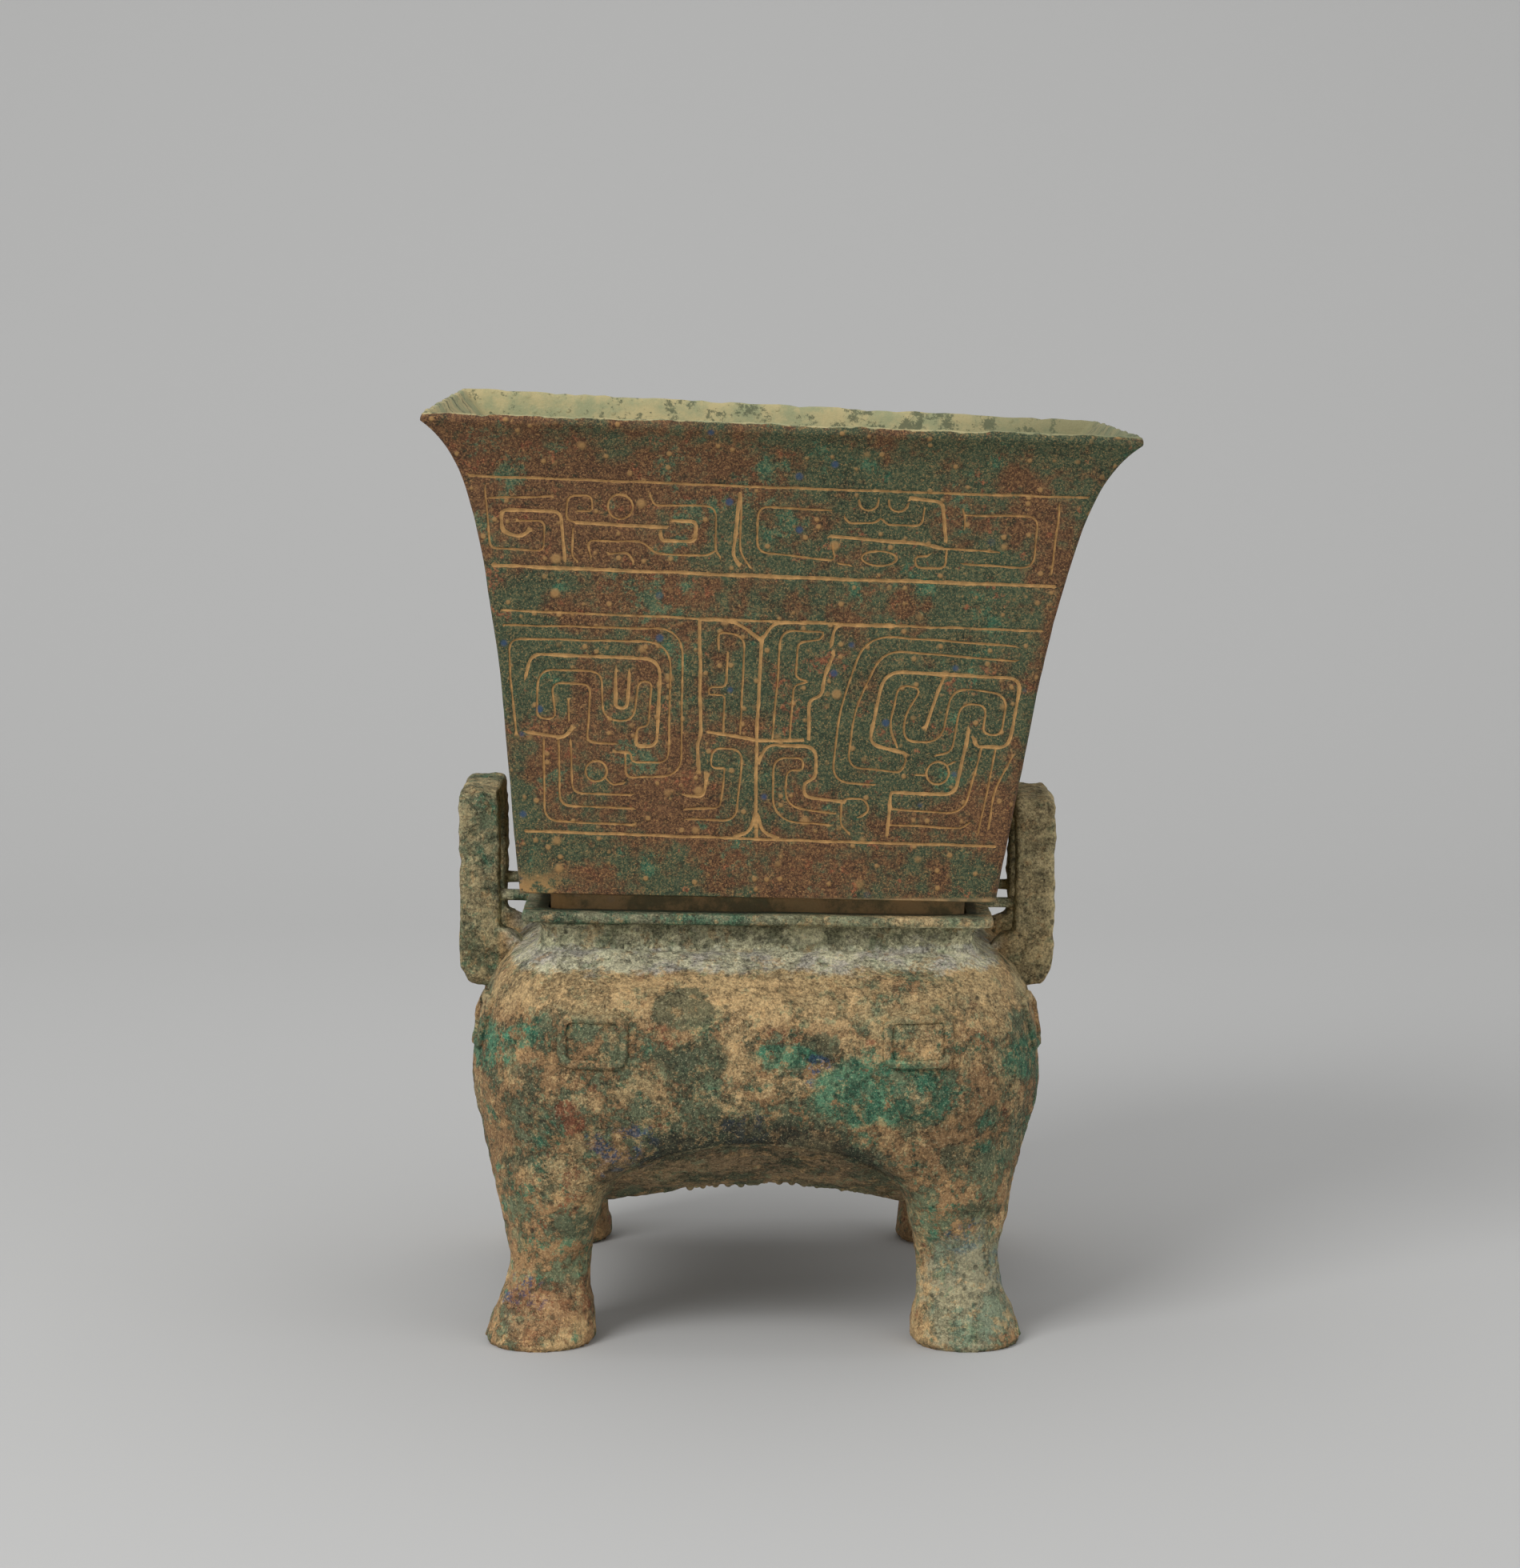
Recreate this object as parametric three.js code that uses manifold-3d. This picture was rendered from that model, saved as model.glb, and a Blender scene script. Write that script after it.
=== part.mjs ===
// Rectangular bronze food steamer in two castings. The boiler is a hollow square body on four legs,
// with a collar and two upright loop handles. It is one casting, given here in parts that meet at the
// hips, at the neck and at the handles' feet. The steamer is a flaring box with a slotted floor, whose
// foot drops into the collar. Millimetres, +Z up, the front faces -Y.

import * as THREE from 'three';
import { mergeVertices } from 'three/addons/utils/BufferGeometryUtils.js';
import Module from 'manifold-3d';

const wasm = await Module();
wasm.setup();

// Boiler body and legs
const BODY_WIDTH = 280;
const BODY_DEPTH = 276;
const BODY_HEIGHT = 191;
const BOILER_WALL = 3.6;
const FOOT_BEVEL = 3.5;
const LEG_HOLLOW_BOTTOM = 30;
const VAULT_CROWN = 74;
const LOBE_OVERLAP = 3;
const HIP_LEVEL = 55.5;
const PART_GAP = 0.3;

// Collar of the boiler
const SIDE_SHOULDER = 32.5;
const FRONT_SHOULDER = 48.5;
const NECK_HEIGHT = 13.5;
const NECK_WALL = 3.4;
const NECK_WAIST = 1.6;
const NECK_FILLET = 1.5;
const COLLAR_ROOT = 5;
const COLLAR_CORNER = 9;
const FLANGE_OVERHANG = 7.5;
const FLANGE_THICKNESS = 5;
const FLANGE_CORNER = 5;
const SEAT_ABOVE_SHOULDER = 2;
const SEAT_SHELF = 4;

// Handles and the two stay rods of each
const HANDLE_RISE = 70;
const HANDLE_WIDTH = 72;
const HANDLE_THICKNESS = 20;
const HANDLE_BAR = 15;
const HANDLE_FROM_BODY = 10.5;
const HANDLE_CORNER = 12;
const HANDLE_EDGE = 3;
const HOOK_THROAT = 14;
const HOOK_REACH = 22;
const HOOK_DROP = 34;
const HOOK_HEEL = 6.5;
const GAP_BELOW_SHOULDER = 16;
const ROD_DIAMETER = 5.5;
const ROD_SPACING = 58;
const ROD_ROOT = 2.5;

// Raised rings on the body, two on each face
const RING_WIDTH = 33;
const RING_HEIGHT = 25;
const RING_BAR = 4;
const RING_RISE = 1.8;
const RING_ROOT = 2.5;
const RING_BELOW_SHOULDER = 36.5;
const RING_SPACING = 156;

// Steamer box
const BASE_OVERHANG = 8.5;
const SIDE_FLARE = 54;
const FRONT_FLARE = 29;
const STEAMER_HEIGHT = 230;
const LEDGE_ABOVE_FLANGE = 9.5;
const STEAMER_WALL = 3.6;
const LIP_EDGE = 4.5;
const BASE_CORNER = 4;
const MOUTH_CORNER = 2;
const FIT_CLEARANCE = 0.9;
const SEAT_GAP = 0.3;
const FOOT_WALL = 3.6;
const FLOOR_THICKNESS = 4;
const SLOT_WIDTH = 8;
const SLOT_LENGTH = 52;
const SLOT_PITCH = 24;
const SLOTS_PER_ROW = 6;

// Sunk ornament, laid out on a grid of parallel lines
const LINE_PITCH = 6.5;
const LINE_WIDTH = 1.5;
const FRAME_LINE_WIDTH = 2.6;
const LINE_DEPTH = 1;
const LINE_PROUD = 1.5;
const MAIN_BAND_BELOW_RIM = 94.5;
const MAIN_BAND_LINES = 17;
const TOP_BAND_BELOW_RIM = 30;
const TOP_BAND_LINES = 6.6;

// The old warp: the upper half leans to the right and its right side hangs lower
const LEAN = THREE.MathUtils.degToRad(2.5);
const LEAN_FROM = 150;
const LEAN_TO = 290;
const SIDE_RATE = 0.009;

// Plan sizes, levels and fits that follow from the sizes above
const NECK_WIDTH = BODY_WIDTH - 2 * SIDE_SHOULDER;
const NECK_DEPTH = BODY_DEPTH - 2 * FRONT_SHOULDER;
const BASE_WIDTH = NECK_WIDTH + 2 * BASE_OVERHANG;
const BASE_DEPTH = NECK_DEPTH + 2 * BASE_OVERHANG;
const MOUTH_WIDTH = BASE_WIDTH + 2 * SIDE_FLARE;
const MOUTH_DEPTH = BASE_DEPTH + 2 * FRONT_FLARE;
const FLANGE_BOTTOM = BODY_HEIGHT + NECK_HEIGHT;
const FLANGE_TOP = FLANGE_BOTTOM + FLANGE_THICKNESS;
const SEAT_Z = BODY_HEIGHT + SEAT_ABOVE_SHOULDER;
const LEDGE_Z = FLANGE_TOP + LEDGE_ABOVE_FLANGE;
const RIM_Z = LEDGE_Z + STEAMER_HEIGHT;
const HANDLE_TOP = BODY_HEIGHT + HANDLE_RISE;
const RING_LEVEL = BODY_HEIGHT - RING_BELOW_SHOULDER;
const BORE_WIDTH = NECK_WIDTH - 2 * (NECK_WALL + NECK_WAIST);
const BORE_DEPTH = NECK_DEPTH - 2 * (NECK_WALL + NECK_WAIST);
const FOOT_WIDTH = BORE_WIDTH - 2 * FIT_CLEARANCE;
const FOOT_DEPTH = BORE_DEPTH - 2 * FIT_CLEARANCE;

// A quarter of the body from the sole up, as shares of its height and half plan: the height, the
// outer side, the inner side towards the next leg, the outer corner's radius and the inner one's.
const QUARTER_FORM = [
  [0, 0.95, 0.546, 0.19, 0.19],
  [0.08, 0.904, 0.56, 0.16, 0.16],
  [0.154, 0.868, 0.572, 0.14, 0.13],
  [0.229, 0.857, 0.565, 0.15, 0.13],
  [0.276, 0.872, 0.555, 0.19, 0.13],
  [0.33, 0.896, 0.54, 0.25, 0.12],
  [0.383, 0.92, 0.52, 0.31, 0.12],
  [0.447, 0.951, 0.455, 0.38, 0.12],
  [0.489, 0.968, 0.36, 0.42, 0.1],
  [0.52, 0.978, 0.26, 0.43, 0.08],
  [0.54, 0.983, 0.12, 0.44, 0.04],
  [0.548, 0.985, -0.02, 0.45, 0.02],
  [0.633, 1, -0.02, 0.5, 0.02],
  [0.734, 0.996, -0.02, 0.5, 0.02],
  [0.84, 0.974, -0.02, 0.47, 0.02],
  [0.91, 0.925, -0.02, 0.42, 0.02],
  [0.957, 0.868, -0.02, 0.3, 0.02],
  [1, 0.765, -0.02, 0.12, 0.02],
];

// The front and back shoulders slope more gently than the side ones, by this share of the half depth
const SHOULDER_EASE = 0.07;

// The underside between the legs, from its middle out to the ridge and up inside the body: the half
// plan as a share, the level above the ridge's crown, and how far a side drops towards its corners
const VAULT_FORM = [[0.3, 6, 2], [0.64, 0, 17], [0.78, 12, 20], [0.94, 29, 40], [0.9, 51, 10]];
const VAULT_STEPS = 20;

const quarterForm = new THREE.CubicInterpolant(
  QUARTER_FORM.map((row) => row[0]), QUARTER_FORM.flatMap((row) => row.slice(1)), 4);

// Makes a closed three.js geometry into a solid that can be joined and cut, with its faces outwards
function toSolid(geometry) {
  const bare = geometry.clone();
  for (const name of Object.keys(bare.attributes)) if (name !== 'position') bare.deleteAttribute(name);
  const merged = mergeVertices(bare, 1e-4);
  const fromTriangles = (triangles) => new wasm.Manifold(new wasm.Mesh({
    numProp: 3,
    vertProperties: new Float32Array(merged.attributes.position.array),
    triVerts: new Uint32Array(triangles),
  }));
  const solid = fromTriangles(merged.index.array);
  return solid.volume() > 0 ? solid : fromTriangles(Array.from(merged.index.array).reverse());
}

function join(solids) {
  return solids.reduce((whole, next) => whole.add(next));
}

// Closed skin through rings of points that all turn the same way, with a cap on each end
function loft(rings) {
  const count = rings[0].length;
  const points = rings.flat();
  const index = [];
  for (let r = 0; r + 1 < rings.length; r++) {
    for (let i = 0; i < count; i++) {
      const a = r * count + i;
      const b = r * count + (i + 1) % count;
      index.push(a, b, b + count, a, b + count, a + count);
    }
  }
  const ends = [[rings[0], 0, true], [rings.at(-1), (rings.length - 1) * count, false]];
  for (const [ring, start, turned] of ends) {
    const middle = ring.reduce((sum, p) => sum.add(p), new THREE.Vector3()).divideScalar(count);
    points.push(middle);
    for (let i = 0; i < count; i++) {
      const next = start + (i + 1) % count;
      index.push(points.length - 1, turned ? next : start + i, turned ? start + i : next);
    }
  }
  return new THREE.BufferGeometry().setFromPoints(points).setIndex(index);
}

// Flat ring with the four corners rounded, each by its own radius and number of steps.
// Corners run from (right, back) over (left, back) and (left, front) to (right, front).
function roundedRing(left, right, front, back, z, radii, steps) {
  const corners = [[right, back, 1, 1], [left, back, -1, 1], [left, front, -1, -1], [right, front, 1, -1]];
  return corners.flatMap(([x, y, sx, sy], corner) => {
    const radius = radii[corner];
    const centreX = x - sx * radius;
    const centreY = y - sy * radius;
    return Array.from({ length: steps[corner] + 1 }, (_, i) => {
      const angle = (corner + i / steps[corner]) * Math.PI / 2;
      return new THREE.Vector3(centreX + radius * Math.cos(angle), centreY + radius * Math.sin(angle), z);
    });
  });
}

function rectangleRing(width, depth, z, radius, steps = 2) {
  const [halfX, halfY] = [width / 2, depth / 2];
  return roundedRing(-halfX, halfX, -halfY, halfY, z, Array(4).fill(radius), Array(4).fill(steps));
}

// Boiler: one quarter of the body with its leg, on the side given by the two signs
function quarterRing(level, signX, signY, inset, steps) {
  const [outer, inner, outerRadius, innerRadius] = quarterForm.evaluate(level / BODY_HEIGHT);
  const halfX = BODY_WIDTH / 2;
  const halfY = BODY_DEPTH / 2;
  const near = (half) => (inner > 0 ? Math.max(inner * half + inset, -LOBE_OVERLAP) : -LOBE_OVERLAP);
  const [nearX, farX] = [near(halfX), outer * halfX - inset];
  const ease = SHOULDER_EASE * THREE.MathUtils.smoothstep(level / BODY_HEIGHT, 0.88, 1);
  const [nearY, farY] = [near(halfY), (outer - ease) * halfY - inset];
  const room = Math.min(farX - nearX, farY - nearY) * 0.98;
  const outerCorner = Math.min(Math.max(outerRadius * halfX - inset, 4), room * 0.64);
  const innerCorner = Math.min(Math.max(innerRadius * halfX - inset / 2, 3), room - outerCorner, room / 2);
  const ring = roundedRing(nearX, farX, nearY, farY, 0,
    [outerCorner, innerCorner, innerCorner, innerCorner], steps);
  const placed = ring.map((p) => new THREE.Vector3(p.x * signX, p.y * signY, level));
  return signX * signY > 0 ? placed : placed.reverse();
}

const OUTER_LEVELS = [0.035, 0.08, 0.15, 0.22, 0.29, 0.37, 0.44, 0.49, 0.53, 0.548, 0.62, 0.76, 0.87,
  0.93, 1];
const HOLLOW_LEVELS = [0.2, 0.33, 0.42, 0.49, 0.548, 0.67, 0.82, 0.91, 1];
const HOLLOW_TURN = [0.6, 0.9];
const OUTER_STEPS = [4, 2, 2, 2];
const HOLLOW_STEPS = [3, 1, 1, 1];

function quarterOuter(signX, signY, grow = 0) {
  const sole = quarterRing(0, signX, signY, FOOT_BEVEL, OUTER_STEPS);
  return loft([sole,
    ...OUTER_LEVELS.map((share) => quarterRing(share * BODY_HEIGHT, signX, signY, -grow, OUTER_STEPS))]);
}

// The hollow keeps the wall's thickness from the skin, above the arch between two legs and below the
// shoulder. Between them its levels turn from a wall higher than the skin's to a wall lower.
function quarterHollow(signX, signY) {
  const rings = HOLLOW_LEVELS.map((share) => {
    const outside = share * BODY_HEIGHT;
    const rise = BOILER_WALL * (1 - 2 * THREE.MathUtils.smoothstep(share, ...HOLLOW_TURN));
    return quarterRing(outside, signX, signY, BOILER_WALL, HOLLOW_STEPS).map((p) => p.setZ(outside + rise));
  });
  const bottom = rings[0].map((p) => p.clone().setZ(LEG_HOLLOW_BOTTOM));
  return loft([bottom, ...rings]);
}

// The underside, whose ridge makes an arch on each side between two legs. Its plan is a rounded square.
function vaultLoft(inset) {
  return loft(VAULT_FORM.map(([share, above, drop]) => {
    const [halfX, halfY] = [BODY_WIDTH / 2 * share - inset, BODY_DEPTH / 2 * share - inset];
    return Array.from({ length: VAULT_STEPS }, (_, i) => {
      const angle = i / VAULT_STEPS * 2 * Math.PI;
      const [c, s] = [Math.cos(angle), Math.sin(angle)];
      const reach = (c ** 4 + s ** 4) ** -0.25;
      const along = reach * Math.min(Math.abs(c), Math.abs(s));
      const level = VAULT_CROWN + above - drop * along ** 2 + inset;
      return new THREE.Vector3(halfX * reach * c, halfY * reach * s, level);
    });
  }));
}

// Height at which the body's own skin faces out at a place on its front, or on its side
function faceDepth(across, level, acrossHalf, facingHalf) {
  const [outer, , outerRadius] = quarterForm.evaluate(level / BODY_HEIGHT);
  const radius = outerRadius * BODY_WIDTH / 2;
  const past = Math.abs(across) - (outer * acrossHalf - radius);
  return outer * facingHalf - (past > 0 ? radius - Math.sqrt(radius ** 2 - past ** 2) : 0);
}

// Raised ring of rounded-square plan that follows the curved skin of one face
function raisedRing(centre, acrossHalf, facingHalf, place) {
  const round = (width, height) => rectangleRing(width, height, 0, Math.min(width, height) * 0.32);
  const outline = [[RING_WIDTH, RING_HEIGHT], [RING_WIDTH - 2 * RING_BAR, RING_HEIGHT - 2 * RING_BAR]];
  const [outside, inside] = outline.map(([width, height]) => round(width, height));
  const lines = [[outside, -RING_ROOT], [outside, RING_RISE / 2], [inside, RING_RISE], [inside, -RING_ROOT]];
  const count = outside.length;
  const points = lines.flatMap(([line, rise]) => line.map((p) => {
    const across = centre + p.x;
    const level = RING_LEVEL + p.y;
    return place(across, faceDepth(across, level, acrossHalf, facingHalf) + rise, level);
  }));
  const index = [];
  for (let k = 0; k < lines.length; k++) {
    const low = k * count;
    const high = ((k + 1) % lines.length) * count;
    for (let i = 0; i < count; i++) {
      const next = (i + 1) % count;
      index.push(low + i, low + next, high + next, low + i, high + next, high + i);
    }
  }
  return toSolid(new THREE.BufferGeometry().setFromPoints(points).setIndex(index));
}

// Four ways to place a point of a face: across it, out from the axis, and up
const FACES = [
  { name: 'front', wide: true, place: (a, out, z) => new THREE.Vector3(a, -out, z) },
  { name: 'back', wide: true, place: (a, out, z) => new THREE.Vector3(-a, out, z) },
  { name: 'right', wide: false, place: (a, out, z) => new THREE.Vector3(out, a, z) },
  { name: 'left', wide: false, place: (a, out, z) => new THREE.Vector3(-out, -a, z) },
];

function bodyRings() {
  return FACES.flatMap(({ place, wide }) => {
    const halves = wide ? [BODY_WIDTH / 2, BODY_DEPTH / 2] : [BODY_DEPTH / 2, BODY_WIDTH / 2];
    const centre = RING_SPACING / 2 * (wide ? 1 : BODY_DEPTH / BODY_WIDTH);
    return [-centre, centre].map((at) => raisedRing(at, ...halves, place));
  });
}

function collarOuter() {
  const neck = (z, grow, radius = COLLAR_CORNER) =>
    rectangleRing(NECK_WIDTH + 2 * grow, NECK_DEPTH + 2 * grow, z, radius);
  return loft([
    neck(BODY_HEIGHT - COLLAR_ROOT, NECK_FILLET),
    neck(BODY_HEIGHT, 0),
    neck(BODY_HEIGHT + NECK_HEIGHT / 2, -NECK_WAIST),
    neck(FLANGE_BOTTOM - NECK_FILLET, 0),
    neck(FLANGE_BOTTOM, FLANGE_OVERHANG, FLANGE_CORNER),
    neck(FLANGE_TOP, FLANGE_OVERHANG, FLANGE_CORNER),
  ]);
}

// The bore above the seat, and the narrower mouth of the body below it
function collarBore() {
  const bore = (z) => rectangleRing(BORE_WIDTH, BORE_DEPTH, z, COLLAR_CORNER - 3);
  const [mouthWidth, mouthDepth] = [BORE_WIDTH - 2 * SEAT_SHELF, BORE_DEPTH - 2 * SEAT_SHELF];
  const mouth = (z) => rectangleRing(mouthWidth, mouthDepth, z, COLLAR_CORNER / 2);
  return toSolid(loft([bore(SEAT_Z), bore(FLANGE_TOP + 5)]))
    .add(toSolid(loft([mouth(BODY_HEIGHT * 0.9), mouth(SEAT_Z + 1)])));
}

// Outline drawn in the XZ or YZ plane and pushed out along the third axis
function extrudeAlong(shape, length, axis) {
  const slab = new THREE.ExtrudeGeometry(shape, { depth: length, bevelEnabled: false, curveSegments: 4 });
  slab.translate(0, 0, -length / 2);
  slab.rotateX(Math.PI / 2);
  if (axis === 'x') slab.rotateZ(Math.PI / 2);
  return toSolid(slab);
}

function archShape(halfWidth, bottom, top, corner) {
  const arch = new THREE.Shape();
  arch.moveTo(-halfWidth, bottom);
  arch.lineTo(halfWidth, bottom);
  arch.lineTo(halfWidth, top - corner);
  arch.quadraticCurveTo(halfWidth, top, halfWidth - corner, top);
  arch.lineTo(-halfWidth + corner, top);
  arch.quadraticCurveTo(-halfWidth, top, -halfWidth, top - corner);
  return arch;
}

// An upright loop, seen from the side a bar whose hooked foot runs into the shoulder
function handle(side) {
  const inner = BODY_WIDTH / 2 - HANDLE_FROM_BODY;
  const outer = inner + HANDLE_THICKNESS;
  const throat = BODY_HEIGHT - HOOK_THROAT;
  const foot = BODY_HEIGHT - HOOK_DROP;
  const hook = new THREE.Shape();
  hook.moveTo(inner, HANDLE_TOP);
  hook.lineTo(inner, BODY_HEIGHT);
  hook.quadraticCurveTo(inner, throat, inner - HOOK_THROAT, throat);
  hook.lineTo(inner - HOOK_REACH, throat - HOOK_THROAT);
  hook.lineTo(inner + HOOK_HEEL, foot);
  hook.quadraticCurveTo(outer, foot, outer, foot + HOOK_THROAT);
  hook.lineTo(outer, HANDLE_TOP - HANDLE_EDGE);
  hook.quadraticCurveTo(outer, HANDLE_TOP, outer - HANDLE_EDGE, HANDLE_TOP);

  const halfWidth = HANDLE_WIDTH / 2;
  const loop = archShape(halfWidth, foot - HOOK_DROP, HANDLE_TOP, HANDLE_CORNER);
  const gap = archShape(halfWidth - HANDLE_BAR, BODY_HEIGHT - GAP_BELOW_SHOULDER, HANDLE_TOP - HANDLE_BAR,
    HANDLE_CORNER * 0.7);
  const bar = extrudeAlong(hook, 2 * HANDLE_WIDTH, 'y')
    .intersect(extrudeAlong(loop, 4 * outer, 'x'))
    .subtract(extrudeAlong(gap, 4 * outer, 'x'));
  return side > 0 ? bar : bar.mirror([1, 0, 0]);
}

// Stay rods run from the middle of the handle's posts to the flange's edge
function stayRods(side) {
  const from = NECK_WIDTH / 2 + FLANGE_OVERHANG + PART_GAP;
  const to = BODY_WIDTH / 2 - HANDLE_FROM_BODY + ROD_ROOT;
  const level = (FLANGE_BOTTOM + FLANGE_TOP) / 2;
  return [-1, 1].map((end) => {
    const rod = new THREE.CylinderGeometry(ROD_DIAMETER / 2, ROD_DIAMETER / 2, to - from, 8);
    rod.rotateZ(Math.PI / 2);
    rod.translate(side * (from + to) / 2, end * ROD_SPACING / 2, level);
    return toSolid(rod);
  });
}

// What a solid has between two levels, over one quarter of the plan or over all of it
function slice(solid, bottom, top, signX = 0, signY = 0) {
  const reach = BODY_WIDTH + BODY_DEPTH;
  const box = new THREE.BoxGeometry(reach, reach, top - bottom);
  box.translate(signX * reach / 2, signY * reach / 2, (bottom + top) / 2);
  return solid.intersect(toSolid(box));
}

const QUARTERS = {
  back_right: [1, 1],
  back_left: [-1, 1],
  front_left: [-1, -1],
  front_right: [1, -1],
};

// The boiler's parts by name. Each keeps the parting gap from the one that it meets.
function boilerParts() {
  const quarters = Object.values(QUARTERS);
  const skin = join([...quarters.map((signs) => toSolid(quarterOuter(...signs))), toSolid(vaultLoft(0))]);
  const hollow = join([
    ...quarters.map((signs) => toSolid(quarterHollow(...signs))),
    toSolid(vaultLoft(BOILER_WALL)),
    collarBore(),
  ]);
  const collar = toSolid(collarOuter());
  const shell = join([skin, collar, ...bodyRings()]).subtract(hollow);
  const parts = {
    boiler_body: slice(shell, HIP_LEVEL + PART_GAP, BODY_HEIGHT - PART_GAP),
    boiler_collar: slice(collar.subtract(hollow), BODY_HEIGHT, FLANGE_TOP + 1),
  };
  for (const [name, signs] of Object.entries(QUARTERS)) {
    parts[`${name}_leg`] = slice(shell, -1, HIP_LEVEL, ...signs);
  }
  const grownSkin = join(quarters.map((signs) => toSolid(quarterOuter(...signs, PART_GAP))));
  for (const [name, side] of [['left', -1], ['right', 1]]) {
    parts[`${name}_handle`] = join([handle(side), ...stayRods(side)]).subtract(grownSkin);
  }
  return parts;
}

// Steamer: how far the wall has flared out at a share of its height
function flare(share) {
  return 0.5 * share + 0.3 * share ** 4 + 0.2 * share ** 20;
}

function flareSlope(share) {
  return (0.5 + 1.2 * share ** 3 + 4 * share ** 19) / (STEAMER_HEIGHT - LIP_EDGE);
}

function steamerWidth(share) {
  return BASE_WIDTH + (MOUTH_WIDTH - BASE_WIDTH) * flare(share);
}

function steamerDepth(share) {
  return BASE_DEPTH + (MOUTH_DEPTH - BASE_DEPTH) * flare(share);
}

function steamerLevel(share) {
  return LEDGE_Z + (STEAMER_HEIGHT - LIP_EDGE) * share;
}

const WALL_SHARES = [0, 0.02, 0.25, 0.5, 0.66, 0.78, 0.86, 0.92, 0.96, 1];

function steamerCorner(share) {
  return THREE.MathUtils.lerp(BASE_CORNER, MOUTH_CORNER, share);
}

// The inner skin keeps the wall's thickness square to the flaring outer skin
function innerRing(share) {
  const alpha = Math.atan((MOUTH_WIDTH - BASE_WIDTH) / 2 * flareSlope(share));
  const beta = Math.atan((MOUTH_DEPTH - BASE_DEPTH) / 2 * flareSlope(share));
  const width = steamerWidth(share) - 2 * STEAMER_WALL * Math.cos(alpha);
  const depth = steamerDepth(share) - 2 * STEAMER_WALL * Math.cos(beta);
  const rise = STEAMER_WALL * Math.min(Math.sin(alpha), Math.sin(beta));
  return rectangleRing(width, depth, steamerLevel(share) + rise, steamerCorner(share) + 1);
}

function floorSlots() {
  const slots = [];
  for (const row of [-1, 1]) {
    for (let i = 0; i < SLOTS_PER_ROW; i++) {
      const slot = new THREE.BoxGeometry(SLOT_WIDTH, SLOT_LENGTH, 6 * FLOOR_THICKNESS);
      const x = (i - (SLOTS_PER_ROW - 1) / 2) * SLOT_PITCH;
      slot.translate(x, row * (SLOT_LENGTH / 2 + FLOOR_THICKNESS), LEDGE_Z);
      slots.push(toSolid(slot));
    }
  }
  return slots;
}

// Ornament: a path through grid points, where a third number rounds the corner at that point.
// A corner of small radius stays a point, and the larger ones get one or two steps.
function roundedPath(points) {
  const path = [];
  points.forEach(([u, v, radius = 0], i) => {
    const here = new THREE.Vector2(u, v);
    if (radius < 0.7 || i === 0 || i === points.length - 1) {
      path.push(here);
      return;
    }
    const before = new THREE.Vector2(...points[i - 1]).sub(here);
    const after = new THREE.Vector2(points[i + 1][0], points[i + 1][1]).sub(here);
    const reach = Math.min(radius, before.length() * 0.48, after.length() * 0.48);
    const corner = new THREE.QuadraticBezierCurve(
      here.clone().addScaledVector(before.normalize(), reach), here,
      here.clone().addScaledVector(after.normalize(), reach));
    path.push(...corner.getPoints(radius < 1.2 ? 1 : 2));
  });
  return path;
}

// Cutter for one sunk line. Its outer face stands proud of the wall, its inner face is the line's bed.
function lineCutter(points, width, bandTop, place, half) {
  const onFace = (p) => new THREE.Vector2(p.x * LINE_PITCH, bandTop - p.y * LINE_PITCH);
  const grid = roundedPath(points).map(onFace);
  const rings = grid.map((here, i) => {
    const before = grid[Math.max(i - 1, 0)];
    const after = grid[Math.min(i + 1, grid.length - 1)];
    const along = here.clone().sub(before).normalize();
    const onward = after.clone().sub(here).normalize();
    const mean = along.clone().add(onward).normalize();
    const across = new THREE.Vector2(-mean.y, mean.x);
    const stretch = i === 0 || i === grid.length - 1 ? 1 : 1 / Math.max(mean.dot(onward), 0.5);
    const ends = [-1, 1].map((s) => here.clone().addScaledVector(across, s * stretch * width / 2));
    const corner = (p, out) => place(p.x, half(p.y) + out, p.y);
    return [corner(ends[0], LINE_PROUD), corner(ends[1], LINE_PROUD),
      corner(ends[1], -LINE_DEPTH), corner(ends[0], -LINE_DEPTH)];
  });
  return toSolid(loft(rings));
}

// One of the parallel lines of a dragon's coiled body, counted from the outside
function coilLine(k) {
  return [[20.5 - k * 0.7, k], [5.4 + k, k, 2], [5.4 + k, 13 - k, 1.4], [9.8, 13 - k, 0.5], [9.8, 10.2]];
}

// The winding line that makes the dragon's jaws
function jawLine() {
  return [[18, 4.8], [17.8, 3.2, 1.2], [8.2, 3.2, 1.4], [8, 9.7, 0.8], [9.6, 9.7, 0.6], [9.5, 8.3, 0.4],
    [8.7, 8.3, 0.4], [8.7, 4.9, 0.5], [9.7, 4.9, 0.5], [9.8, 8, 1.2], [12.2, 8, 1.2], [12.3, 4.3, 1],
    [17, 4.3, 1.2], [17, 8, 0.7], [15.6, 8, 0.5], [16, 5.4, 0.8], [13.2, 5.4, 0.7], [13.2, 9.7, 1],
    [11, 9.7]];
}

// Nested angles under the dragon's head
function nestedAngle(k) {
  return [[16.4 - k, 9.6], [16.2 - k, 15.7 - k * 1.1, 1], [9.6, 15.7 - k * 1.1]];
}

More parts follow.
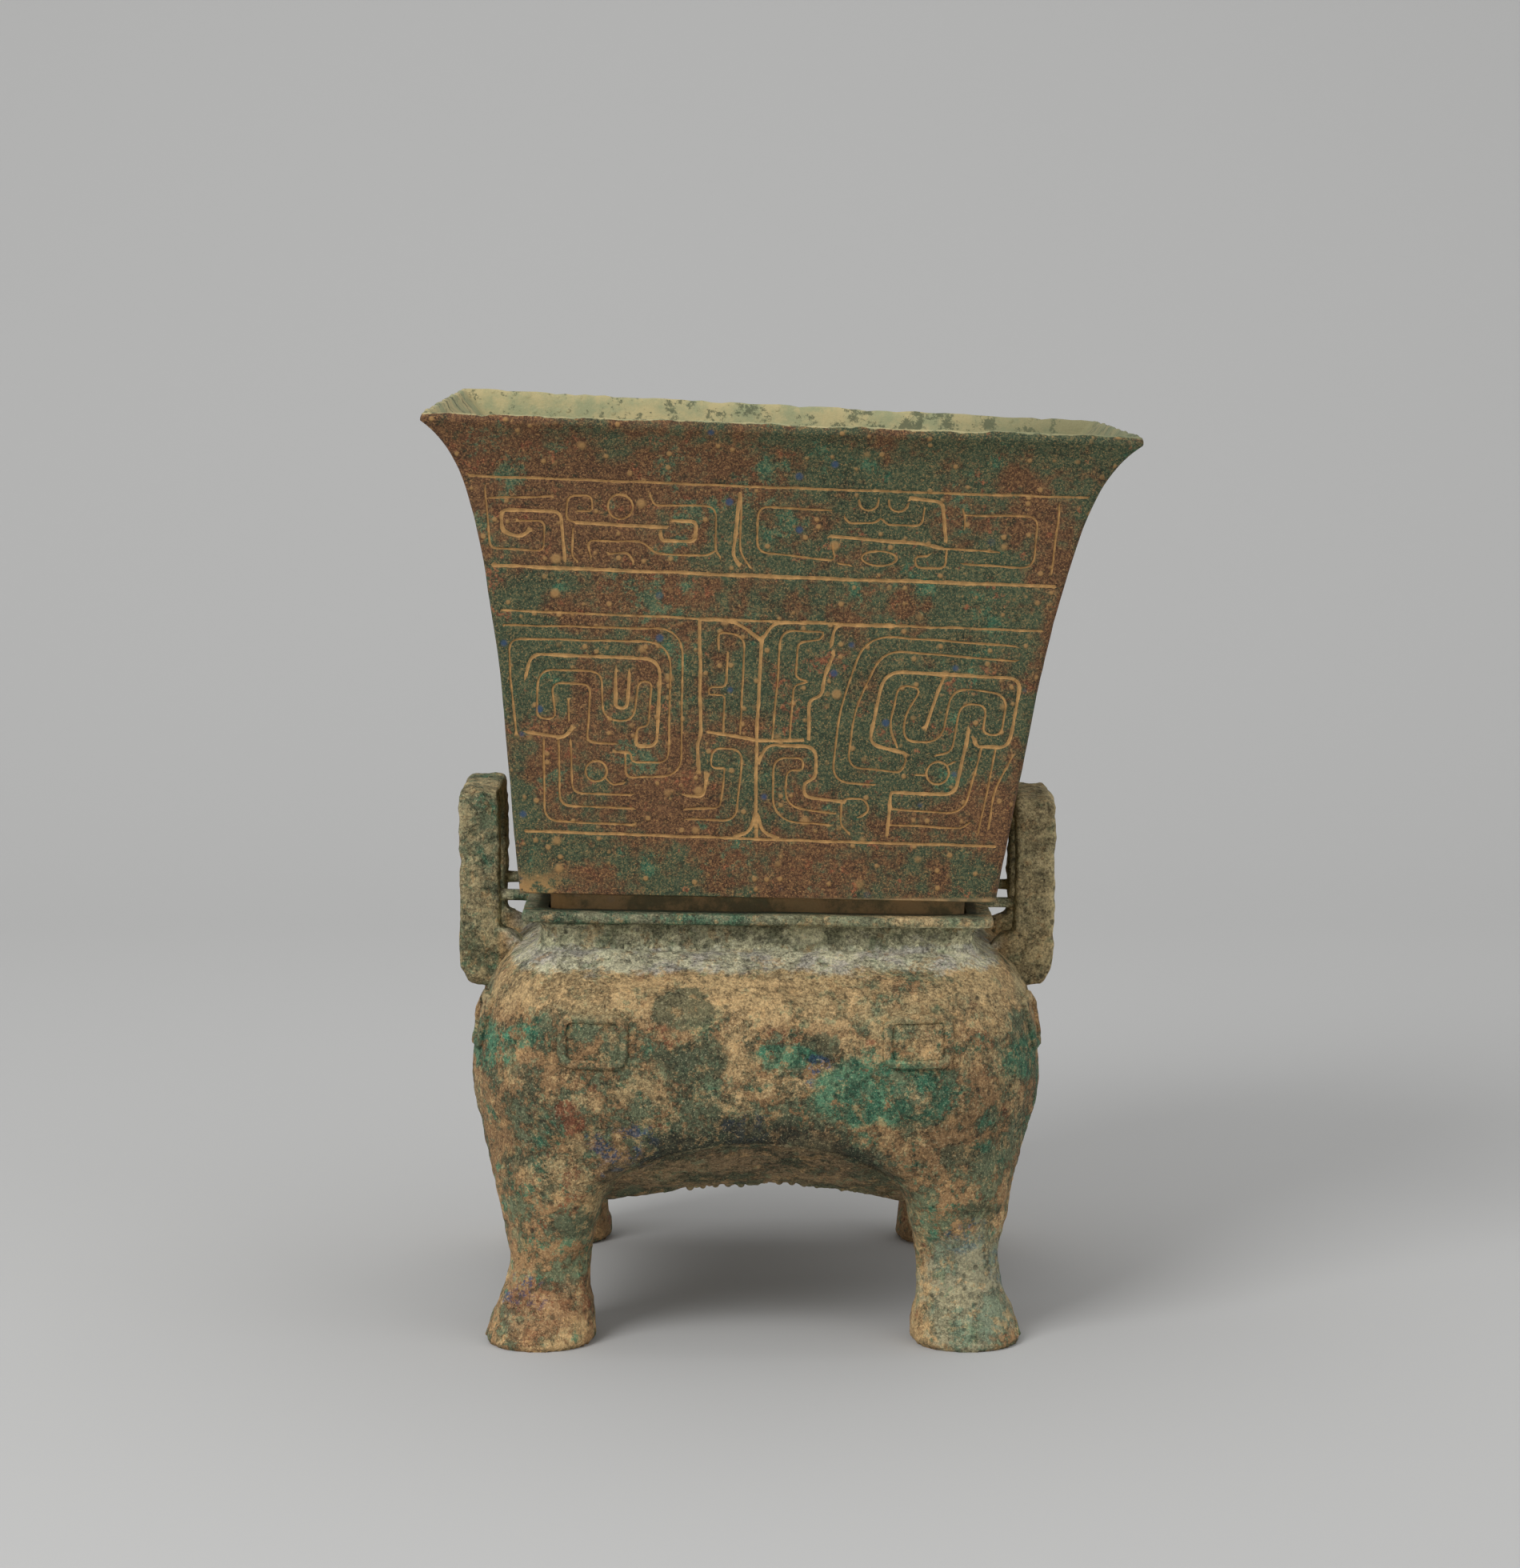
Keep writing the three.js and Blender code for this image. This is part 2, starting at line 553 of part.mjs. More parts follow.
function hookLines() {
  return [
    [[2.9, 11.2], [3.9, 11.2, 0.4], [3.9, 9.8, 0.7], [1.6, 9.8, 1], [1.8, 15.1, 1], [5.6, 15.1]],
    [[2.9, 11.2], [3.1, 14.2, 0.6], [5.6, 14.3]],
    [[3.8, 2.1], [3.9, 1, 0.4], [1.9, 1.2, 1], [1.9, 8.7]],
    [[3.1, 2.6], [3.1, 5.1, 0.4], [4.3, 5.4, 0.3], [3.2, 5.8, 0.4], [3.1, 8.7]],
  ];
}

// The small dragon of the top band: curled tail, body and head
function topDragon() {
  return [
    [[21.2, 1], [21, 5.4, 0.5], [17, 5.4, 0.5], [17, 3.1, 0.6], [19, 3.1]],
    [[20, 4.2], [20.2, 2.2, 0.5], [15.7, 2.2, 0.7], [15.4, 6.1]],
    [[9.2, 1.4], [4.6, 1.6, 0.8], [4.5, 5.2, 0.6], [9, 5.3, 0.7], [9.8, 4.5, 0.6], [13.8, 4.5]],
  ];
}

// Sunk lines of the wide faces: two dragons that face each other across a stem. The back is plainer.
function wideFaceLines(full) {
  const lines = [];
  for (const side of [-1, 1]) {
    const flip = (points) => points.map(([u, v, radius]) => [side * u, v, radius]);
    for (const k of [1, 2]) lines.push({ points: flip(coilLine(k)), band: 'main' });
    lines.push({ points: flip(full ? jawLine() : coilLine(3)), band: 'main' });
    for (const k of full ? [0, 1, 2] : [0]) lines.push({ points: flip(nestedAngle(k)), band: 'main' });
    if (full) for (const points of hookLines()) lines.push({ points: flip(points), band: 'main' });
    lines.push({ points: flip([[5, 0.2], [4.7, 11.4]]), band: 'main', broad: true });
    for (const points of topDragon()) lines.push({ points: flip(points), band: 'top' });
    lines.push({ points: flip([[14.6, 3.3], [8, 3.3]]), band: 'top', broad: true });
    lines.push({ points: flip([[2.8, 0.7], [2.8, 5.8]]), band: 'top', broad: true });
  }
  lines.push({ points: [[0, 1.2], [0, 15.8]], band: 'main', broad: true });
  return lines;
}

// Sunk lines of the narrow faces: the same dragons' coils, with plain angles below them
function narrowFaceLines() {
  const lines = [];
  for (const side of [-1, 1]) {
    for (const k of [0, 1.2]) {
      lines.push({ points: [[side * (14 - k), 1 + k], [side * (1.5 + k), 1 + k, 1.6],
        [side * (1.5 + k), 11 - k, 1.4], [side * (8 - k), 11 - k]], band: 'main' });
    }
    lines.push({ points: [[side * 13, 12.4], [side * 1.5, 12.4, 0.8], [side * 1.5, 15.6]], band: 'main' });
    lines.push({ points: [[side * 16, 1.6], [side * 2, 1.6, 0.8], [side * 2, 5, 0.8], [side * 15, 5]],
      band: 'top' });
  }
  return lines;
}

function frameLines(wide) {
  const reach = wide ? { top: 22.4, main: 20 } : { top: 17.4, main: 15.6 };
  return [['top', 0], ['top', TOP_BAND_LINES], ['main', 0], ['main', MAIN_BAND_LINES]].map(([band, v]) => {
    const end = reach[band] - (v > 10 ? 2 : 0);
    return { points: [[-end, v], [end, v]], band, broad: true };
  });
}

function ornamentCutters() {
  const bandTops = { top: RIM_Z - TOP_BAND_BELOW_RIM, main: RIM_Z - MAIN_BAND_BELOW_RIM };
  return FACES.flatMap(({ name, place, wide }) => {
    const lines = [...frameLines(wide), ...(wide ? wideFaceLines(name === 'front') : narrowFaceLines())];
    const half = (z) => {
      const share = (z - LEDGE_Z) / (STEAMER_HEIGHT - LIP_EDGE);
      return (wide ? steamerDepth(share) : steamerWidth(share)) / 2;
    };
    return lines.map(({ points, band, broad }) =>
      lineCutter(points, broad ? FRAME_LINE_WIDTH : LINE_WIDTH, bandTops[band], place, half));
  });
}

function makeSteamer() {
  const outerRing = (share) =>
    rectangleRing(steamerWidth(share), steamerDepth(share), steamerLevel(share), steamerCorner(share));
  const skin = WALL_SHARES.map(outerRing);
  const rim = rectangleRing(MOUTH_WIDTH, MOUTH_DEPTH, RIM_Z, MOUTH_CORNER);
  const foot = (z) => rectangleRing(FOOT_WIDTH, FOOT_DEPTH, z, COLLAR_CORNER - 3);
  const outside = toSolid(loft([...skin, rim]))
    .add(toSolid(loft([foot(SEAT_Z + SEAT_GAP), foot(LEDGE_Z + 1)])));

  const inner = WALL_SHARES.slice(2).map(innerRing);
  const floor = rectangleRing(BASE_WIDTH - 2 * STEAMER_WALL, BASE_DEPTH - 2 * STEAMER_WALL,
    LEDGE_Z + FLOOR_THICKNESS, steamerCorner(0) + 1);
  const open = inner.at(-1).map((p) => p.clone().setZ(RIM_Z + 2));
  const chamber = toSolid(loft([floor, ...inner, open]));
  const [socketWidth, socketDepth] = [FOOT_WIDTH - 2 * FOOT_WALL, FOOT_DEPTH - 2 * FOOT_WALL];
  const socket = (z) => rectangleRing(socketWidth, socketDepth, z, COLLAR_CORNER - 4);
  const footHollow = toSolid(loft([socket(SEAT_Z - 2), socket(LEDGE_Z)]));
  return outside.subtract(join([chamber, footHollow, ...floorSlots(), ...ornamentCutters()]));
}

// The warp, the same for both castings, so that what mates still mates. It gives the shift to the
// right of a level, and the tangent of that level's slope.
function warp(z) {
  const share = THREE.MathUtils.clamp((z - LEAN_FROM) / (LEAN_TO - LEAN_FROM), 0, 1);
  const shift = SIDE_RATE * z + LEAN * ((LEAN_TO - LEAN_FROM) * (share ** 3 - share ** 4 / 2)
    + Math.max(0, z - LEAN_TO));
  return [shift, Math.tan(LEAN * THREE.MathUtils.smoothstep(z, LEAN_FROM, LEAN_TO))];
}

// Above its stiff level a casting only moves as a whole, as the boiler's handles do
function toMesh(name, solid, stiffAbove, material) {
  const { vertProperties, triVerts, numProp } = solid.getMesh();
  const [middle] = warp(RIM_Z);
  const position = new Float32Array(vertProperties.length / numProp * 3);
  for (let i = 0; i < position.length / 3; i++) {
    const [x, y, z] = vertProperties.subarray(i * numProp, i * numProp + 3);
    const [shift, slope] = warp(Math.min(z, stiffAbove));
    position.set([x + shift - middle, y, z - x * slope], i * 3);
  }
  const geometry = new THREE.BufferGeometry();
  geometry.setAttribute('position', new THREE.BufferAttribute(position, 3));
  geometry.setIndex([...triVerts]);
  geometry.computeVertexNormals();
  const mesh = new THREE.Mesh(geometry, material);
  mesh.name = name;
  return mesh;
}

const boilerBronze = new THREE.MeshStandardMaterial({ color: 0x7d7556, roughness: 0.85, metalness: 0.3 });
const steamerBronze = new THREE.MeshStandardMaterial({ color: 0x5f5038, roughness: 0.8, metalness: 0.35 });

const group = new THREE.Group();
for (const [name, solid] of Object.entries(boilerParts())) {
  group.add(toMesh(name, solid, FLANGE_TOP, boilerBronze));
}
group.add(toMesh('steamer_box', makeSteamer(), RIM_Z, steamerBronze));

export default group;
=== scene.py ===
"""Rectangular bronze food steamer: a flaring box with sunk dragons, set in a boiler on four legs."""

import math

import bmesh
import bpy
import numpy as np
from bpy.props import FloatProperty, FloatVectorProperty, IntProperty, PointerProperty
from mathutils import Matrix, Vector, geometry, kdtree, noise
from mathutils.bvhtree import BVHTree


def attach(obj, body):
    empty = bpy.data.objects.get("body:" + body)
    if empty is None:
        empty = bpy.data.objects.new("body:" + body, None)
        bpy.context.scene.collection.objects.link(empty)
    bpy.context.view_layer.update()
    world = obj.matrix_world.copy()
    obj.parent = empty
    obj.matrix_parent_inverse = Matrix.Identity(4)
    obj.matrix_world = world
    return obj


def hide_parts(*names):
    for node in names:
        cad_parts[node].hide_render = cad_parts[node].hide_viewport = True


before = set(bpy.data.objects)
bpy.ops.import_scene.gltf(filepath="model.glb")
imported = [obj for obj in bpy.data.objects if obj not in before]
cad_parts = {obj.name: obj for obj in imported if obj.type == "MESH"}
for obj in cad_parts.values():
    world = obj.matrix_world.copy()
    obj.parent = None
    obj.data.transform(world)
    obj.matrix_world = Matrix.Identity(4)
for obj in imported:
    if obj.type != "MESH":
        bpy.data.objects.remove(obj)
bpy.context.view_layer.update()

bl_info = {
    "name": "Bronze food steamer",
    "version": (1, 0, 0),
    "blender": (4, 5, 0),
    "location": "View3D > Sidebar > Steamer",
    "description": "Builds a patinated bronze steamer box and its four-legged boiler",
    "category": "Add Mesh",
}


# The frame's parts of the boiler, which is one casting
BOILER_NODES = ["boiler_body", "boiler_collar", "left_handle", "right_handle",
                "front_left_leg", "front_right_leg", "back_left_leg", "back_right_leg"]


# Sizes and colours that a user would change


def length(label, about, default):
    return FloatProperty(name=label, description=about, default=default, unit="LENGTH", precision=4)


def colour(label, about, default):
    return FloatVectorProperty(name=label, description=about, default=default, subtype="COLOR", size=3,
                               min=0, max=1)


class WarpSettings(bpy.types.PropertyGroup):
    lean: FloatProperty(name="Lean", description="Slope of the warped upper half", subtype="ANGLE",
                        default=math.radians(2.5))
    start: length("Warp starts", "Height where the lean begins", 0.150)
    full: length("Warp is full", "Height above which the lean stays the same", 0.290)
    drift: FloatProperty(name="Drift", description="Sideways drift for each unit of height", default=0.009)
    rim_twist: FloatProperty(name="Rim twist", subtype="ANGLE", default=math.radians(0.5),
                             description="Extra slope at the back of the rim, less at the front")


class SteamerSettings(bpy.types.PropertyGroup):
    mouth_width: length("Mouth width", "Width of the mouth over its lip", 0.340)
    mouth_depth: length("Mouth depth", "Depth of the mouth over its lip", 0.254)
    base_width: length("Base width", "Width at the ledge", 0.232)
    base_depth: length("Base depth", "Depth at the ledge", 0.196)
    height: length("Height", "From the ledge to the rim", 0.230)
    ledge: length("Ledge height", "Height of the ledge above the floor", 0.219)
    wall: length("Wall", "Thickness of the walls", 0.0036)
    lip: length("Lip edge", "Height of the lip's upright edge", 0.0045)
    foot_width: length("Foot width", "Width of the foot that stands in the collar", 0.2032)
    foot_depth: length("Foot depth", "Depth of the foot that stands in the collar", 0.1672)
    foot_bottom: length("Foot bottom", "Height of the foot's lower edge", 0.1933)


class OrnamentSettings(bpy.types.PropertyGroup):
    pitch: length("Line pitch", "Distance between two parallel sunk lines", 0.0065)
    line: length("Line width", "Width of a thin sunk line", 0.00135)
    depth: length("Line depth", "Depth of a sunk line", 0.0006)
    top_band: length("Top band", "Top of the upper band below the rim", 0.030)
    main_band: length("Main band", "Top of the main band below the rim", 0.0945)
    grain: length("Grain", "Spacing of the plain wall's mesh", 0.0042)
    seed: IntProperty(name="Seed", description="Seed of the hand-cut wobble", default=7)


class BoilerSettings(bpy.types.PropertyGroup):
    width: length("Body width", "Width of the body at its fullest", 0.280)
    depth: length("Body depth", "Depth of the body at its fullest", 0.276)
    height: length("Body height", "Height of the shoulder", 0.191)
    wall: length("Wall", "Thickness of the walls", 0.0036)
    hollow_bottom: length("Leg hollow", "Height where the hollow in each leg starts", 0.030)
    vault: length("Vault height", "Height of the ridge under the middle of each side", 0.074)
    neck_width: length("Neck width", "Width of the collar's neck", 0.215)
    neck_depth: length("Neck depth", "Depth of the collar's neck", 0.179)
    flange_bottom: length("Flange bottom", "Height of the flange's underside", 0.2045)
    flange: length("Flange thickness", "Thickness of the flange", 0.005)
    overhang: length("Flange overhang", "How far the flange stands out from the neck", 0.0075)
    handle_top: length("Handle top", "Height of the handles before the warp", 0.261)
    handle_bar: length("Handle thickness", "Thickness of the handles seen from the front", 0.020)
    eye_level: length("Eye level", "Height of the middle of the raised eye rings", 0.1545)
    fineness: length("Skin fineness", "Mesh size of the body's outer skin", 0.0022)


class PatinaSettings(bpy.types.PropertyGroup):
    red_brown: colour("Red-brown", "Red-brown bronze of the steamer", (0.122, 0.058, 0.027))
    dark_green: colour("Dark green", "Dark green film of the steamer", (0.050, 0.072, 0.038))
    clay: colour("Clay", "Ochre clay left in the sunk lines", (0.50, 0.285, 0.105))
    tan: colour("Tan crust", "Tan crust of the boiler", (0.50, 0.345, 0.165))
    brown: colour("Brown", "Brown bronze of the boiler", (0.265, 0.158, 0.072))
    olive: colour("Olive", "Grey-green film of the boiler", (0.135, 0.155, 0.085))
    malachite: colour("Malachite", "Green corrosion", (0.045, 0.200, 0.115))
    azurite: colour("Azurite", "Blue corrosion specks", (0.035, 0.075, 0.150))
    cuprite: colour("Cuprite", "Red corrosion", (0.25, 0.075, 0.035))
    pale: colour("Pale crust", "Pale grey-green crust", (0.47, 0.46, 0.36))
    # The dark colour also serves as painted shade in the boiler's creases and hollows.
    dark: colour("Dark film", "Nearly black film in hollows", (0.040, 0.040, 0.024))


class StageSettings(bpy.types.PropertyGroup):
    camera_back: length("Camera distance", "How far the camera stands in front of the middle", 1.971)
    camera_height: length("Camera height", "Height of the camera", 0.5256)
    camera_side: length("Camera side", "Where the camera stands to the side", -0.0106)
    camera_down: FloatProperty(name="Camera tilt", description="How far the camera looks down",
                               subtype="ANGLE", default=math.radians(7.64))
    lens: FloatProperty(name="Lens", description="Focal length in millimetres", default=89.7)
    backdrop: colour("Backdrop", "Grey of the floor and the backdrop", (0.50, 0.50, 0.495))


SETTINGS = {
    "vessel_warp": WarpSettings,
    "vessel_steamer": SteamerSettings,
    "vessel_ornament": OrnamentSettings,
    "vessel_boiler": BoilerSettings,
    "vessel_patina": PatinaSettings,
    "vessel_stage": StageSettings,
}


# Forms shared by both castings


def smoothstep(low, high, value):
    t = np.clip((np.asarray(value, float) - low) / (high - low), 0, 1)
    return t * t * (3 - 2 * t)


def warp_at(z, settings):
    """Shift to the right and slope of the level at height z."""
    span = settings.full - settings.start
    t = np.clip((z - settings.start) / span, 0, 1)
    shift = settings.drift * z + settings.lean * (span * (t**3 - t**4 / 2)
                                                  + np.maximum(0, z - settings.full))
    return shift, np.tan(settings.lean * smoothstep(settings.start, settings.full, z))


def warp(points, context, stiff_above=10.0):
    """Leans points as the old vessel leans, about the middle of its mouth."""
    scene = context.scene
    settings, steamer = scene.vessel_warp, scene.vessel_steamer
    rim = steamer.ledge + steamer.height
    middle = warp_at(rim, settings)[0]
    out = np.array(points, float)
    x, y, z = out.T.copy()
    shift, slope = warp_at(np.minimum(z, stiff_above), settings)
    twist = np.tan(settings.rim_twist) * smoothstep(steamer.ledge, rim, z) * y / (steamer.mouth_depth / 2)
    out[:, 0] = x + shift - middle
    out[:, 2] = z - x * (slope + twist * (stiff_above > rim))
    return out


def perimeter(half_x, half_y, radius, across, deep, arc):
    """Points of a rounded rectangle from its front left corner anticlockwise, and their normals."""
    points, normals = [], []
    for face in range(4):
        along, out = (half_x, half_y) if face % 2 == 0 else (half_y, half_x)
        angle = face * math.pi / 2
        turn = np.array([[math.cos(angle), -math.sin(angle)], [math.sin(angle), math.cos(angle)]])
        steps = across if face % 2 == 0 else deep
        u = np.linspace(-(along - radius), along - radius, steps + 1)
        flat = np.stack([u, np.full_like(u, -out)], 1)
        theta = np.linspace(0, math.pi / 2, arc + 1)[1:-1]
        bend = np.stack([along - radius + radius * np.sin(theta),
                         -out + radius - radius * np.cos(theta)], 1)
        points.append(np.concatenate([flat, bend]) @ turn.T)
        facing = np.concatenate([np.tile([0.0, -1.0], (len(u), 1)),
                                 np.stack([np.sin(theta), -np.cos(theta)], 1)])
        normals.append(facing @ turn.T)
    return np.concatenate(points), np.concatenate(normals)


def rough(points, size, strength, octaves=3, shift=0.0):
    """Fractal unevenness at each point, with lumps of the given size."""
    offset = Vector((shift, shift * 1.7, -shift))
    values = [noise.fractal(Vector(p) / size + offset, 0.9, 2.1, octaves) for p in points]
    return strength * np.array(values)


class Shell:
    """Collects vertices, faces and two vertex values: clay in a line, and the vessel's inside."""

    def __init__(self):
        self.points, self.faces, self.clay, self.inside = [], [], [], []
        self.count = 0

    def add(self, points, faces, clay=0.0, inside=0.0):
        start = self.count
        self.points.append(np.asarray(points, float))
        self.faces += [tuple(start + i for i in face) for face in faces]
        self.clay.append(np.broadcast_to(clay, len(points)).astype(float))
        self.inside.append(np.broadcast_to(inside, len(points)).astype(float))
        self.count += len(points)
        return range(start, self.count)

    def loft(self, rings, clay=0.0, inside=0.0, cap_start=False, cap_end=False):
        count = len(rings[0])
        faces = []
        for r in range(len(rings) - 1):
            for i in range(count):
                a, b = r * count + i, r * count + (i + 1) % count
                faces.append((a, b, b + count, a + count))
        if cap_start:
            faces.append(tuple(reversed(range(count))))
        if cap_end:
            faces.append(tuple(range((len(rings) - 1) * count, len(rings) * count)))
        if np.ndim(inside):
            inside = np.repeat(inside, count)
        self.add(np.concatenate(rings), faces, clay, inside)

    def to_object(self, name, transform=None, merge=2e-5):
        points = np.concatenate(self.points)
        mesh = bpy.data.meshes.new(name)
        mesh.from_pydata(points.tolist(), [], self.faces)
        for label, values in (("clay", self.clay), ("inside", self.inside)):
            mesh.attributes.new(label, "FLOAT", "POINT").data.foreach_set("value", np.concatenate(values))
        work = bmesh.new()
        work.from_mesh(mesh)
        bmesh.ops.remove_doubles(work, verts=work.verts, dist=merge)
        bmesh.ops.recalc_face_normals(work, faces=work.faces)
        work.to_mesh(mesh)
        work.free()
        if transform:
            move_points(mesh, transform)
        piece = bpy.data.objects.new(name, mesh)
        bpy.context.scene.collection.objects.link(piece)
        return piece


def get_points(mesh):
    flat = np.empty(len(mesh.vertices) * 3)
    mesh.vertices.foreach_get("co", flat)
    return flat.reshape(-1, 3)


def move_points(mesh, transform):
    mesh.vertices.foreach_set("co", transform(get_points(mesh)).ravel())
    mesh.update()


def get_normals(mesh):
    flat = np.empty(len(mesh.vertices) * 3)
    mesh.vertex_normals.foreach_get("vector", flat)
    return flat.reshape(-1, 3)


def settle(piece):
    """Turns a piece and its modifiers into a plain mesh."""
    graph = bpy.context.evaluated_depsgraph_get()
    result = bpy.data.meshes.new_from_object(piece.evaluated_get(graph), preserve_all_data_layers=True,
                                             depsgraph=graph)
    piece.modifiers.clear()
    old, piece.data = piece.data, result
    bpy.data.meshes.remove(old)
    return piece


def modify(piece, kind, **values):
    modifier = piece.modifiers.new(kind.title(), kind)
    for key, value in values.items():
        setattr(modifier, key, value)
    return settle(piece)


def combine(piece, other, operation):
    """Joins or cuts a piece with another one, which is then gone."""
    count = len(piece.data.polygons)
    copy = piece.data.copy()
    modify(piece, "BOOLEAN", object=other, operation=operation, solver="MANIFOLD")
    if len(piece.data.polygons) < 8 or len(piece.data.polygons) == count:
        piece.data = copy
        modify(piece, "BOOLEAN", object=other, operation=operation, solver="EXACT")
    bpy.data.objects.remove(other)
    return piece


def smooth_shade(piece, angle=math.radians(60)):
    piece.data.polygons.foreach_set("use_smooth", [True] * len(piece.data.polygons))
    if angle:
        piece.data.set_sharp_from_angle(angle=angle)


def finish_piece(piece, nodes, material):
    piece.data.materials.clear()
    piece.data.materials.append(material)
    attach(piece, "root")
    if nodes:
        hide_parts(*nodes)


# Sunk ornament, on a grid whose unit is the line pitch: across from the face's middle, and down
# from the band's top. A third number rounds the corner at that point.


def flip(points, side):
    return [(side * p[0], *p[1:]) for p in points]


def rounded_path(points, step=0.12):
    """Dense points along a path whose corners are rounded by their own radius."""
    anchors = [np.array(p[:2], float) for p in points]
    path = [anchors[0]]
    for i in range(1, len(anchors) - 1):
        here = anchors[i]
        back, onward = anchors[i - 1] - here, anchors[i + 1] - here
        radius = points[i][2] if len(points[i]) > 2 else 0.15
        reach = min(radius, np.linalg.norm(back) * 0.48, np.linalg.norm(onward) * 0.48)
        start = here + back / np.linalg.norm(back) * reach
        end = here + onward / np.linalg.norm(onward) * reach
        for t in np.linspace(0, 1, 9):
            path.append((1 - t) ** 2 * start + 2 * t * (1 - t) * here + t * t * end)
    path.append(anchors[-1])
    path = np.array(path)
    lengths = np.concatenate([[0], np.cumsum(np.linalg.norm(np.diff(path, axis=0), axis=1))])
    even = np.linspace(0, lengths[-1], max(3, round(lengths[-1] / step)))
    return np.stack([np.interp(even, lengths, path[:, 0]), np.interp(even, lengths, path[:, 1])], 1)


def oval(u, v, radius_u, radius_v=None, turn=1.0, start=0.0):
    angles = np.linspace(start, start + turn * 2 * math.pi, 17)
    radius_v = radius_v or radius_u
    return [(u + radius_u * math.cos(a), v + radius_v * math.sin(a), 0.3) for a in angles]


def left_dragon():
    """The left dragon of the main band, thin lines and then broad ones."""
    thin = [
        [(-20.2, 1.1), (-6.5, 0.9, 2), (-6.1, 11.9, 1.5), (-10.2, 12.2, 0.6), (-10.3, 10.4)],
        [(-18.7, 9), (-19.3, 2.1, 1), (-7.3, 1.9, 2), (-7.1, 11, 0.9), (-9.8, 11, 0.6), (-9.9, 10.3),
         (-11, 10.3)],
        [(-13.1, 9.5, 1), (-12.2, 9.7), (-11, 9.7)],
        [(-14.7, 6.6), (-14.6, 8.1)],
        oval(-12.4, 11.8, 0.8),
        [(-11.7, 12.3), (-11.2, 12.8), (-10.2, 12.6)],
    ]
    thin += [[(-16.4 + k, 9.6), (-16.1 + k, 15.6 - 1.05 * k, 1.1 - 0.2 * k), (-9.6, 15.7 - 1.1 * k)]
             for k in (0, 1.1, 2)]
    winding = [(-9.6, 9.1), (-9.5, 8.4, 0.4), (-8.7, 8.3, 0.4), (-8.6, 4.9, 0.5), (-9.6, 4.9, 0.5),
               (-9.8, 8, 1.2), (-12.1, 7.9, 1.2), (-12.3, 4.3, 1), (-17, 4.3, 1.2), (-17, 8, 0.7),
               (-15.6, 8, 0.5), (-16, 5.3, 0.8), (-13.1, 5.3, 0.7), (-13.2, 9.7, 1), (-11.8, 9.7)]
    broad = [
        [(-17.9, 4.8), (-17.6, 3.2, 1.2), (-8, 3.2, 1.4), (-8, 9.8, 0.8), (-9.6, 9.8, 0.6), (-9.6, 9)],
        [(-11.3, 4.3), (-11.2, 7, 0.45), (-10.3, 7, 0.45), (-10.3, 4.3)],
        [(-17.6, 9.1), (-14.9, 9.4, 0.5), (-14.3, 8.6)],
    ]
    return thin + [winding], broad


def centre_stem():
    """The stem between the dragons, with its prongs and hooks."""
    thin = [
        [(-3.8, 2.1), (-3.9, 1, 0.4), (-1.9, 1.2, 1.1), (-1.9, 8.7)],
        [(-3.1, 2.6), (-3.1, 5.1, 0.4), (-4.4, 5.1, 0.3), (-4.4, 5.7, 0.2), (-3.2, 5.7, 0.3), (-3.1, 8.7)],
        [(0.5, 8.9), (0.75, 0.7, 1), (3.9, 0.7, 0.3), (3.6, 1.3, 0.2), (2, 1.6, 0.4), (2, 4.2, 0.4),
         (3, 4.45, 0.2), (1.9, 4.8, 0.4), (1.8, 8.7)],
        [(-2.9, 11.2), (-3.9, 11.2, 0.4), (-3.9, 9.7, 0.7), (-1.6, 9.7, 1), (-1.9, 15.1, 1), (-5.6, 15.1)],
        [(-2.9, 11.2), (-3.1, 14.2, 0.5), (-5.6, 14.4)],
        [(5.1, 15.2), (0.8, 15, 2), (0.7, 10.2, 1), (2.9, 10.2, 0.6), (2.9, 11.1, 0.3), (1.7, 11.1, 0.6),
         (1.7, 13.9, 1.4), (5.5, 14.3)],
    ]
    broad = [
        [(-5.3, 0.2), (-4.8, 8.7, 0.5), (-5, 9.5, 0.3), (-4.8, 11.4)],
        [(-5.2, 0.1), (-2.6, 0.1, 1.2), (-0.7, 1.5)],
        [(-0.7, 1.5), (0.2, 0.1, 1), (3.9, 0)],
        [(-0.65, 1.3), (-0.65, 8.9, 1), (-0.4, 14.6, 1), (-0.3, 16.4)],
        [(-0.4, 14.6), (-0.8, 15.9, 0.5), (-1.9, 16.3)],
        [(-0.3, 14.6), (0.1, 15.9, 0.5), (1.2, 16.3)],
        [(-4.2, 8.5), (-0.6, 9, 0.4), (2.8, 8.8)],
        [(4.7, 2.4), (4.1, 4, 1), (4, 5.4, 0.4), (3.1, 5.8, 0.4), (3.2, 8.8)],
        [(-4.2, 12), (-4.3, 13.4, 0.5), (-5.7, 13.4)],
        [(-0.4, 10.6), (0.2, 9.3, 0.8), (3.8, 9.3, 0.9), (3.9, 11.6, 0.5), (3, 12.1, 0.3), (3.1, 13.1, 0.5),
         (6.1, 13.4)],
    ]
    return thin, broad


